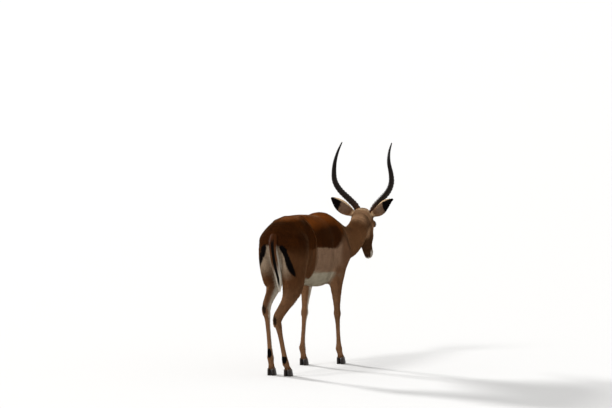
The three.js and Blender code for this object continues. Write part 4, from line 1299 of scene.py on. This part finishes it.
def roots(chosen, count, keep):
    """Random places on the chosen triangles, evenly by area: each is a random share of the
    triangle's corners. Gives everything the skin knows there, for the places that pass keep."""
    faces = skin_faces[chosen]
    a, b, c = (skin_points[faces[:, k]] for k in range(3))
    area = np.linalg.norm(np.cross(b - a, c - a), axis=1)
    pick = rng.choice(len(faces), count, p=area / area.sum())
    u, v = rng.random(count), rng.random(count)
    flip = u + v > 1
    u[flip], v[flip] = 1 - u[flip], 1 - v[flip]
    share = np.stack([1 - u - v, u, v], 1)
    corners = faces[pick]

    def at(values):
        """What the skin's values are at the chosen places."""
        shape = share.reshape(share.shape + (1,) * (values.ndim - 1))
        return (values[corners] * shape).sum(1)

    known = {key: at(SKIN[key]) for key in ("dist", "along", "turn")}
    known["part"] = SKIN["part"][corners[:, 0]]
    known["lie"] = at(SKIN["lie"])
    p, normal = at(skin_points), unit(at(skin_normals))
    good = keep(p, normal, known)
    known = {key: value[good] for key, value in known.items()}
    return p[good], normal[good], known


def chart(part, known):
    """The skin unrolled round the part's own axis: how far round, and how far along."""
    k = PARTS.index(part)
    turn = known["turn"][:, k]
    if part.startswith("ear"):
        u = 0.25 + 0.22 * np.clip(turn[:, 0], -1, 1) + 0.5 * (turn[:, 1] > 0)
        return np.stack([u, 0.03 + 0.94 * np.clip(known["along"][:, k], 0, 1)], 1)
    angle = np.arctan2(turn[:, 0], turn[:, 1]) / (2 * math.pi)
    return np.stack([0.5 + 0.94 * angle, 0.03 + 0.94 * np.clip(known["along"][:, k], 0, 1)], 1)


UV_HALF = 0.0015  # half the side of a hair's patch on the OFBake map


def ribbons(name, path, across, normal, width, root_tint, tip_tint, uv, material, slot):
    """Tapered ribbons of hair, from the middle line of each as rows of points. Half the width is
    w*(1 - s^2) at share s along it, down to one point at the tip. Each is shaded mostly by the normal
    it is given, leaned a little outward at both edges, so that it catches light as a lock does."""
    n, rows = path.shape[:2]
    sections = rows - 1
    m = 2 * sections + 1
    share = np.arange(sections) / sections
    half = (width[:, None] / 2 * (1 - share**2) * np.where(share == 0, 0.8, 1))[:, :, None]
    side = across[:, None, :]
    points = np.empty((n, m, 3))
    points[:, 0:-1:2] = path[:, :-1] - side * half
    points[:, 1::2] = path[:, :-1] + side * half
    points[:, -1] = path[:, -1]
    face = unit(np.cross(side, np.gradient(path, axis=1)))
    shade = unit(0.75 * normal[:, None] + 0.25 * face)
    normals = np.empty((n, m, 3))
    normals[:, 0:-1:2] = unit(shade[:, :-1] - side * 0.28)
    normals[:, 1::2] = unit(shade[:, :-1] + side * 0.28)
    normals[:, -1] = shade[:, -1]
    a = 2 * np.arange(sections - 1)
    strip = np.stack([np.stack([a, a + 1, a + 3], 1), np.stack([a, a + 3, a + 2], 1)], 1).reshape(-1, 3)
    pattern = np.vstack([strip, [[m - 3, m - 2, m - 1]]])
    faces = (pattern[None] + (np.arange(n) * m)[:, None, None]).reshape(-1, 3)
    obj = new_mesh(name, points.reshape(-1, 3), faces)
    shade_by(obj, normals.reshape(-1, 3))
    index = np.minimum(np.arange(m) // 2, sections)
    along = (index / sections)[None, :, None]
    vary = rng.normal(1, 0.13, (n, 1, 1))
    colours = (root_tint[:, None] * (1 - along) + tip_tint[:, None] * along) * vary
    tint_mesh(obj, np.clip(colours.reshape(-1, 3), 0.001, 0.97))
    patch = np.zeros((m, 2))
    patch[:, 0] = np.where(np.arange(m) % 2, UV_HALF, -UV_HALF)
    patch[:, 1] = index / sections * 2 * UV_HALF - UV_HALF
    patch[-1, 0] = 0
    spots = (uv[:, None, :] + patch[None]).reshape(-1, 2)
    layer = obj.data.uv_layers.new(name="OFBake")
    layer.data.foreach_set("uv", spots[faces.ravel()].astype(F32).ravel())
    return finish_piece(obj, material, slot)


ROOT_SHADE, TIP_SHADE = 0.86, 1.18  # darker roots; tips lighter, partly own tone, partly painted highlight


def blades(name, p, normal, lie, length, width, lift, tint, uv, sections=2, droop=0.0,
           material=None, slot="fawn_coat", sway=0.35, roll=0.5):
    """Hair from roots on the skin. At share s a blade is at root + lie*L*s + normal*L*lift*(1.9s -
    1.25s^2) + down*L*droop*s^2, with its root a little under the skin."""
    n = len(p)
    lie = unit(lie + np.cross(normal, lie) * rng.normal(0, sway * 0.5, (n, 1)))
    across = np.cross(lie, normal)
    tilt = rng.normal(0, roll * 0.5, (n, 1))
    across = unit(across * np.cos(tilt) + normal * np.sin(tilt))
    length = (length * rng.uniform(0.75, 1.2, n))[:, None, None]
    width = width * rng.uniform(0.8, 1.2, n)
    lift = (lift * rng.uniform(0.6, 1.4, n))[:, None, None]
    s = (np.arange(sections + 1) / sections)[None, :, None]
    root = p[:, None] - normal[:, None] * (0.1 + 0.03 * length)
    path = root + lie[:, None] * length * s + normal[:, None] * length * lift * (1.9 * s - 1.25 * s * s)
    path = path + DOWN * length * droop * s * s
    finish = material or COAT_FINISH
    dark, light = tint * ROOT_SHADE, tint * TIP_SHADE
    return ribbons(name, path, across, normal, width, dark, light, uv, finish, slot)


def bare_skin(p):
    """True on the nose, in the nostrils and mouth, and between the lids."""
    q = head_terms(p)
    none = nose_pad(q) > 0.4
    none |= (np.hypot((q[:, 0] - 270) / 12, (np.abs(q[:, 1]) - 17) / 9) < 1) & (np.abs(q[:, 2] - 5) < 9)
    none |= (np.abs(q[:, 2] - mouth_line(q[:, 0])) < 2.2) & (q[:, 0] > 214)
    for side in (-1, 1):
        opening, far = lid_opening(side, p)[:2]
        none |= (opening < 2.4) & (far < EYE_R + 9)
    return none


def head_share(p):
    """0 on the neck, 1 on the head."""
    return smooth(-p[:, 1], 1120, 1170)


DENSITY, WIDER = ((1.0, 1.0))
EAR_HAIRS, TAIL_HAIRS, LEG_HAIRS = 22000, 15500, 60000
HAIR_LOWEST = 44  # below this the foot is bare horn


def coat_size(p, normal):
    """Length, width and lift of the hair: shorter down the legs and on the face, longer on the
    belly and buttocks, round the horns' bases and on the crown."""
    forward, up = -p[:, 1], p[:, 2]
    q = head_terms(p)
    length = 15 - 6.5 * smooth(up, 420, 200) - 2.5 * smooth(up, 120, 50)
    length = length + 5 * smooth(normal[:, 1], 0.2, 0.8) * smooth(up, 480, 620) * smooth(forward, 160, 60)
    length = length + 3 * smooth(up, 540, 480) * smooth(forward, 240, 300) * smooth(forward, 760, 700)
    on_face = head_share(p)
    face = 8.5 - 4.6 * smooth(q[:, 0], 60, 210)
    length = length + (face - length) * on_face
    collar = sum(gauss(q, [68, side * 28, 56], [24, 22, 22]) for side in (-1, 1)) * on_face
    crown = gauss(q, [-18, 0, 30], [34, 46, 34])
    length = length + 7 * collar + 5 * crown
    width = 1.15 + 0.075 * length
    width = width * (1 - 0.25 * on_face)
    lift = np.maximum(0.13 + 0.05 * (normal[:, 2] < -0.3), 1.0 / length) + 0.1 * collar + 0.08 * crown
    return length, width, lift


def hairy(p, normal, known):
    """True where the coat grows: above the hooves, and off the bare skin of the face."""
    return (p[:, 2] > HAIR_LOWEST) & ~bare_skin(p)


# Pieces of the coat: name, part of the body, which of its triangles by their middles, how many roots.
COATS = [
    ("coat_barrel", TRUNK_P, lambda p: -p[:, 1] >= 330, 64000),
    ("coat_rump", TRUNK_P, lambda p: -p[:, 1] < 330, 60000),
    ("coat_neck", NECK_P, None, 56000),
    ("coat_head", HEAD_P, None, 60000),
    ("coat_hind_left", HIND_L, None, 56000),
    ("coat_hind_right", HIND_R, None, 56000),
    ("coat_fore_left", FORE_L, None, 36000),
    ("coat_fore_right", FORE_R, None, 36000),
]
face_part = SKIN["part"][skin_faces[:, 0]]
face_middle = skin_points[skin_faces].mean(1)
for name, k, where, count in COATS:
    chosen = face_part == k
    if where is not None:
        chosen &= where(face_middle)
    p, normal, known = roots(chosen, int(count * DENSITY), hairy)
    length, width, lift = coat_size(p, normal)
    tint = markings(p, normal, known)
    slot = "saddle_coat" if k == TRUNK_P else "fawn_coat"
    uv = chart(PARTS[k], known)
    blades(name, p, normal, known["lie"], length, width * WIDER, lift, tint, uv, slot=slot)

for name, k, side in (("coat_ear_left", EAR_L, -1), ("coat_ear_right", EAR_R, 1)):
    chosen = face_part == k
    p, normal, known = roots(chosen, int(EAR_HAIRS * DENSITY),
                             lambda p, n, known: known["along"][:, k] > 0.1)
    inner = known["turn"][:, k, 1] > 0
    edge = np.abs(known["turn"][:, k, 0])
    t = known["along"][:, k]
    length = np.where(inner, 5 + 9 * smooth(edge, 0.45, 0.8) * smooth(t, 0.86, 0.55), 6.5)
    length = length * (1 - 0.35 * smooth(t, 0.75, 0.95))
    inward = -EAR_AXES[side][3] * np.sign(known["turn"][:, k, 0])[:, None]
    lie = known["lie"] + inward * (inner * smooth(edge, 0.4, 0.8) * 0.7)[:, None]
    lift = np.where(inner, 0.30, 0.16)
    tint = markings(p, normal, known)
    blades(name, p, normal, unit(lie), length, np.where(inner, 1.1, 1.2) * WIDER, lift, tint,
           chart(PARTS[k], known), slot="ear_coat")

# Width and depth of the bush of the tail, by share of the dock's length.
BUSH_AT = [0, 0.12, 0.35, 0.8, 1.0, 1.36]
BUSH_WIDE = [14, 19, 25, 25, 19, 3]
BUSH_DEEP = [11, 12, 13, 12, 9, 2]


def tail_line(share):
    """The dock's middle line at each share of its length, carried on straight down past its end."""
    stations = np.vstack([DOCK["at"][::4], DOCK_END])
    inside = catmull(stations, share.ravel()).reshape(share.shape + (3,))
    beyond = np.maximum(share - 1, 0)[..., None] * DOCK_LENGTH
    return inside + beyond * unit(place(0.02, 0.10, -1))


def tail_hair():
    """Long hair round the dock. From a root at share t of its length and angle a round it, a hair
    runs on along the tail while its distance out grows from the dock's to the bush's. Black along
    the middle of the back, brown beside it near the top, and white at the sides, end and underside,
    but fawn on the upper left side as painted shade."""
    count, sections = int(TAIL_HAIRS * DENSITY), 5
    t = rng.uniform(0.03, 1.0, count) ** 0.9
    angle = rng.uniform(-math.pi, math.pi, count)
    run = rng.uniform(0.24, 0.36, count)
    layer = np.sqrt(rng.uniform(0.2, 1.0, count))
    s = np.arange(sections + 1) / sections
    share = t[:, None] + run[:, None] * s
    middle = tail_line(share)
    along = unit(np.gradient(middle, axis=1))
    side = unit(RIGHT - along * (along @ RIGHT)[..., None])
    rear = np.cross(along, side)
    out = 0.45 + (layer[:, None] - 0.45) * smooth(s, 0, 0.75)
    wide = np.interp(share, BUSH_AT, BUSH_WIDE) * out * np.sin(angle)[:, None]
    deep = np.interp(share, BUSH_AT, BUSH_DEEP) * out * np.cos(angle)[:, None]
    path = middle + side * wide[..., None] + rear * deep[..., None]
    outward = unit(side[:, 2] * np.sin(angle)[:, None] / 2 + rear[:, 2] * np.cos(angle)[:, None])
    across = unit(np.cross(along[:, 2], outward) + 0.3 * outward * rng.normal(0, 1, (count, 1)))
    up, off = path[:, 2, 2], np.abs(wide[:, 2])
    behind = smooth(np.cos(angle), -0.1, 0.3)
    # painted shade: the upper hair on the left side is fawn rather than white
    tint = blend(WHITE * 0.85, RUMP_PALE, smooth(up, 600, 690) * smooth(wide[:, 2], 4, -4))
    tint = blend(tint, THIGH, behind * smooth(up, 600, 700) * smooth(off, 19, 13))
    tint = blend(tint, SADDLE_DARK * 1.7, smooth(up, 740, 785))
    strip = behind * smooth(off, 8.2, 5.6) * smooth(up, 812, 790) * smooth(up, 540, 566)
    tint = blend(tint, BLACK, strip)
    uv = np.stack([0.5 + 0.94 * angle / (2 * math.pi), 0.03 + 0.94 * t], 1)
    width = rng.uniform(1.5, 2.4, count) * WIDER
    ribbons("tail_hair", path, across, outward, width, tint * 0.85, tint * 1.08, uv, LONG_FINISH, "tail_hair")


tail_hair()

# Glandular tufts behind the hind fetlocks.
for name, k in (("hind_left", HIND_L), ("hind_right", HIND_R)):
    spot = LEGS[name]["fetlock"] + place(-24, 0, 34)
    p, normal, known = roots(face_part == k, int(LEG_HAIRS * DENSITY),
                             lambda p, n, known: (gauss(p, spot, [15, 16, 26]) > 0.4) & (n[:, 1] > 0.2))
    tint = np.tile(BLACK, (len(p), 1))
    blades(f"gland_tuft_{name}", p, normal, known["lie"] + place(-0.15, 0, 0), 17, 1.5 * WIDER, 0.2, tint,
           chart(name, known), sections=3, material=LONG_FINISH)

# ---- Eyes ----


def shell(name, points):
    """A closed surface from a grid of points, rows by columns: columns wrap round, and each end row
    is closed by a fan. Returns the object and its points in a row."""
    rows, columns = points.shape[:2]
    i, j = np.meshgrid(np.arange(rows - 1), np.arange(columns), indexing="ij")
    a = i * columns + j
    b = i * columns + (j + 1) % columns
    quads = np.stack([a, b, b + columns, a + columns], -1).reshape(-1, 4)
    tris = np.concatenate([quads[:, [0, 1, 2]], quads[:, [0, 2, 3]]])
    flat = points.reshape(-1, 3)
    ends = np.stack([points[0].mean(0), points[-1].mean(0)])
    j = np.arange(columns)
    first = np.stack([np.full(columns, len(flat)), (j + 1) % columns, j], 1)
    last = (rows - 1) * columns
    final = np.stack([np.full(columns, len(flat) + 1), last + j, last + (j + 1) % columns], 1)
    faces = np.concatenate([tris, first, final])
    flat = np.vstack([flat, ends])
    a, b, c = (flat[faces[:, k]] for k in range(3))
    volume = dots(a, np.cross(b, c)).sum()
    if volume < 0:
        faces = faces[:, ::-1]
    return new_mesh(name, flat, faces), flat


def eyeball(side):
    """A sphere of polar angle and turn about the gaze, with the cornea swelling 0.8 mm near its
    pole; dark brown iris, and a level oval pupil."""
    out, fore, up = EYE_AXES[side]
    polar = np.linspace(0.02, math.pi - 0.02, 48)[:, None, None]
    turn = whole_turn(64)[None, :, None]
    radius = EYE_R - 0.5 + 0.8 * smooth(polar, 0.75, 0.2)
    x, y = np.cos(turn), np.sin(turn)
    points = EYES[side] + radius * (out * np.cos(polar) + (fore * x + up * y) * np.sin(polar))
    obj, flat = shell(sided("eyeball", side), points)
    q = unit(flat - EYES[side])
    h, v = q @ fore, q @ up
    far = np.hypot(h, v)
    angle = np.arctan2(v, h)
    iris = linear("3a2314") * (1 + 0.25 * np.sin(angle * 37)[:, None] * smooth(far, 0.2, 0.6)[:, None])
    tint = blend(iris, linear("0c0705"), smooth(far, 0.62, 0.72))
    tint = blend(tint, linear("040303"), smooth(np.hypot(h / 0.42, v / 0.24), 1.08, 0.92))
    tint_mesh(obj, tint)
    finish_piece(obj, EYE_FINISH, "eye", sided("eye", side))


LASH_COUNT, LASH_WIDTH = 64, 0.7


def lashes(side):
    """A row of short stiff hairs along the upper lid: roots on its rim, at angles h seen from the
    eye's middle, leaning out and up."""
    out, fore, up = EYE_AXES[side]
    count, sections = LASH_COUNT, 3
    h = rng.uniform(-0.82, 0.8, count)
    v = 0.68 * np.sqrt(1 - h * h * 0.95) + 0.03 + 0.1 * h
    ray = out * (np.cos(v) * np.cos(h))[:, None] + fore * (np.cos(v) * np.sin(h))[:, None]
    ray = ray + up * np.sin(v)[:, None]
    root = EYES[side] + ray * (EYE_R + 2.2)
    lean = unit(out * 0.9 + fore * (0.5 * h)[:, None] + up * 0.25)
    s = np.arange(sections + 1) / sections
    length = rng.uniform(4, 7, count)[:, None, None]
    s = s[None, :, None]
    path = root[:, None] + lean[:, None] * length * s + up * length * 0.35 * (s * s)
    across = unit(np.cross(lean, up))
    dark = np.tile(LID, (count, 1))
    uv = np.stack([0.5 + 0.4 * h, 0.5 + 0.3 * v], 1)
    normal, width = np.tile(out, (count, 1)), np.full(count, LASH_WIDTH)
    ribbons(sided("lashes", side), path, across, normal, width, dark, dark, uv, LONG_FINISH, "fawn_coat")


for side in (-1, 1):
    eyeball(side)
    lashes(side)

# ---- Horns ----

# Stations of a horn's curve: out to its side, back, up, and the radius there.
HORN = np.array([
    [22, 40, -20, 13],
    [35, 5, 30, 19.5],
    [58, 4, 82, 19],
    [95, 10, 122, 18.5],
    [148, 26, 176, 17.5],
    [175, 44, 228, 16.2],
    [178, 57, 282, 14.2],
    [168, 68, 350, 11],
    [160, 40, 408, 7.6],
    [155, -24, 462, 3.2],
])
HORN_BASE = on_head(58, 0, 50) - 10 * UP
RING_COUNT = 31.68  # if the rings went on to the tip


def horn(side):
    """A round section carried along the lyre: its radius is the stations' own, swollen by rings
    that are steep below and stand out most in front, closer together upwards and gone on the tip's
    third."""
    rows, columns = ((420, 36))
    t = np.linspace(0, 1, rows)
    out, back, up, thick = HORN.T
    path = HORN_BASE + np.outer(out * side, HEAD_RIGHT) - np.outer(back, FACING) + np.outer(up, UP)
    at = catmull(path, t)
    radius = np.maximum(catmull(thick[:, None], t)[:, 0], 0.8)
    along = unit(np.gradient(at, axis=0))
    across = unit(np.cross(along, FACING))
    fore = np.cross(across, along)
    length = np.concatenate([[0], np.cumsum(np.linalg.norm(np.diff(at, axis=0), axis=1))])
    share = length / length[-1]
    ring = RING_COUNT * share**0.93
    saw = ring % 1
    ridge = smooth(saw, 0.0, 0.62) * smooth(saw, 1.0, 0.74)
    strength = smooth(share, 0.70, 0.52) * smooth(share, 0.05, 0.11)
    angle = whole_turn(columns)
    front = 0.5 + 0.5 * np.cos(angle)
    swell = (0.05 + 0.085 * front[None, :] ** 0.8) * (ridge * strength)[:, None] - 0.05 * strength[:, None]
    groove = 0.010 * np.sin(angle * 13)[None, :] * (0.4 + 0.6 * smooth(share, 0.05, 0.5)[:, None])
    r = radius[:, None] * (1 + swell + groove * smooth(share, 1.0, 0.8)[:, None])
    r = np.where(share[:, None] > 0.995, r * 0.6, r)
    wide, deep = r * np.sin(angle), 1.12 * r * np.cos(angle)
    rings = across[:, None] * wide[..., None] + fore[:, None] * deep[..., None]
    obj = shell(sided("horn_ringed", side), at[:, None] + rings)[0]
    dark, light = linear("17110d"), linear("3b3028")
    worn = (ridge * strength)[:, None] * (0.35 + 0.65 * front[None, :])
    tint = dark + (light - dark) * (0.55 * worn)[..., None]
    foot = smooth(share, 0.34, 0.05)[:, None, None]
    tint = tint + (linear("57351f") - tint) * foot * 0.6
    tint = tint + (linear("0f0b09") - tint) * smooth(share, 0.6, 0.8)[:, None, None]
    tint = np.vstack([tint.reshape(-1, 3), tint[0, :1], tint[-1, :1]])
    tint_mesh(obj, tint)
    finish_piece(obj, HORN_FINISH, "horn", sided("horn", side))


for side in (-1, 1):
    horn(side)

# ---- Hooves ----

CLAW_LENGTH, CLAW_WIDTH, CLAW_APART = 60, 23, 12.5


def claw(name, inner):
    """One half of a hoof: level rings from the sole up to the coronet, each an oval drawn to a point
    in front and flattened where the two halves meet, shrinking and moving back upwards, with faint
    growth lines."""
    joints = LEGS[name]
    side, coronet = joints["side"], joints["coronet"]
    right = -coronet[0] + side * (-CLAW_APART if inner else CLAW_APART)
    forward = -coronet[1] + 8
    rows, columns = ((30, 48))
    h = np.concatenate([[0, 0.4, 1.2], np.linspace(2.4, CORONET + 2.5, rows - 3)])
    size = np.interp(h, [0, 0.4, 1.2, 2.4, 9, 38, 41], [0.955, 0.98, 0.993, 1, 0.98, 0.71, 0.62])
    wide = np.interp(h, [0, 0.4, 1.2, 2.4, 9, 34, 38, 41], [0.95, 0.98, 1.0, 1.02, 1.02, 0.92, 0.88, 0.74])
    back = np.interp(h, [0, 9, 38, 41], [0, 1, 9, 9.5])
    lines = 1 + 0.008 * np.sin(h * 1.7) * (h > 2.4) * (h < 34)
    angle = whole_turn(columns)
    ahead = np.cos(angle)
    narrow = 1 - 0.32 * np.maximum(0, ahead) ** 2
    sideways = np.sin(angle) * narrow
    inward = sideways * side * (1 if inner else -1) > 0
    flat = np.where(inward, 0.82, 1)
    f = forward + np.outer(size * lines, ahead) * CLAW_LENGTH / 2 - back[:, None]
    r = right + np.outer(wide * lines, sideways * flat) * CLAW_WIDTH / 2
    z = np.repeat(h[:, None], columns, 1)
    points = np.stack([-r, -f, z], -1)
    obj, flat_points = shell(f"{name}_claw_{'inner' if inner else 'outer'}", points)
    up = flat_points[:, 2]
    tint = linear("241d19") * (1 + 0.12 * np.sin(up * 1.7))[:, None]
    tint = blend(tint, linear("5d4a3c"), 0.5 * smooth(up, 31, 38))
    tint_mesh(obj, tint)
    finish_piece(obj, HOOF_FINISH, "hoof", f"{name}_hoof_{'inner' if inner else 'outer'}")


for name in LEGS:
    for inner in (True, False):
        claw(name, inner)

# ---- Stage ----

# The camera looks along LOOK, with ACROSS to its right and OVER up: turned and dipped by these angles.
TURN, DIP = math.radians(22), math.radians(5)
LOOK = np.array([math.sin(TURN) * math.cos(DIP), -math.cos(TURN) * math.cos(DIP), -math.sin(DIP)])
ACROSS = np.array([-math.cos(TURN), -math.sin(TURN), 0])
OVER = np.array([math.sin(TURN) * math.sin(DIP), -math.cos(TURN) * math.sin(DIP), math.cos(DIP)])
DISTANCE = 20.0  # metres
SENSOR, LENS = 36, 209.4118  # millimetres
SHIFT_ACROSS, SHIFT_OVER = 1.92353, 3.97647  # the aim beside LOOK, in the lens's millimetres
camera_data = bpy.data.cameras.new("camera")
camera_data.sensor_width = SENSOR
camera_data.lens = LENS
camera_data.clip_end = 2000  # beyond the floor's edge
camera = add_object("camera", camera_data)
aim = unit(LOOK * LENS + ACROSS * SHIFT_ACROSS + OVER * SHIFT_OVER)
across = unit(np.cross(aim, UP))
over = np.cross(across, aim)
matrix = Matrix.Identity(4)
eye_at = to_frame(place(10, 0, 600)) - LOOK * DISTANCE
for i in range(3):
    matrix[i][0], matrix[i][1], matrix[i][2], matrix[i][3] = across[i], over[i], -aim[i], eye_at[i]
camera.matrix_world = matrix
bpy.context.scene.camera = camera


def sun(name, direction, strength, spread):
    """A sun that shines from a direction, with soft edges to its shadows."""
    data = bpy.data.lights.new(name, "SUN")
    data.energy = strength
    data.angle = math.radians(spread)
    obj = add_object(name, data)
    obj.rotation_euler = Vector(direction).to_track_quat("Z", "Y").to_euler()


# A soft light from high on the camera's left, and a sun beyond the animal that rims its outline.
sun("key", -ACROSS * 0.8 + OVER * 1.0 - LOOK * 0.7, 1.1, 14)
sun("rim", -ACROSS * 1.0 + OVER * 0.6 + LOOK * 0.95, 4.2, 9)

SKY_LIGHT, SKY_SEEN = 0.6, 0.97  # the sky is brighter to look at than the light that it gives
world = bpy.data.worlds.new("studio")
bpy.context.scene.world = world
world.use_nodes = True
nodes, links = world.node_tree.nodes, world.node_tree.links
background = nodes["Background"]
background.inputs["Color"].default_value = (1, 1, 1, 1)
path = nodes.new("ShaderNodeLightPath")
seen = nodes.new("ShaderNodeMath")
seen.operation = "MAXIMUM"
links.new(path.outputs["Is Camera Ray"], seen.inputs[0])
links.new(path.outputs["Is Glossy Ray"], seen.inputs[1])
level = nodes.new("ShaderNodeMapRange")
level.inputs["To Min"].default_value = SKY_LIGHT
level.inputs["To Max"].default_value = SKY_SEEN
links.new(seen.outputs[0], level.inputs["Value"])
links.new(level.outputs["Result"], background.inputs["Strength"])

FLOOR_R, FLOOR_SIDES = 600, 96  # metres, so that no edge of the floor is seen
floor_mesh = bpy.data.meshes.new("floor")
angle = whole_turn(FLOOR_SIDES)
ring = np.stack([np.cos(angle) * FLOOR_R, np.sin(angle) * FLOOR_R, np.zeros(FLOOR_SIDES)], 1)
floor_mesh.from_pydata(ring.tolist(), [], [list(range(FLOOR_SIDES))])
floor = add_object("floor", floor_mesh)
paint = bpy.data.materials.new("pale_floor")
paint.use_nodes = True
shader = paint.node_tree.nodes["Principled BSDF"]
shader.inputs["Base Color"].default_value = (0.72, 0.715, 0.705, 1)
shader.inputs["Roughness"].default_value = 0.9
floor_mesh.materials.append(paint)
bpy.context.scene.view_settings.view_transform = "Standard"
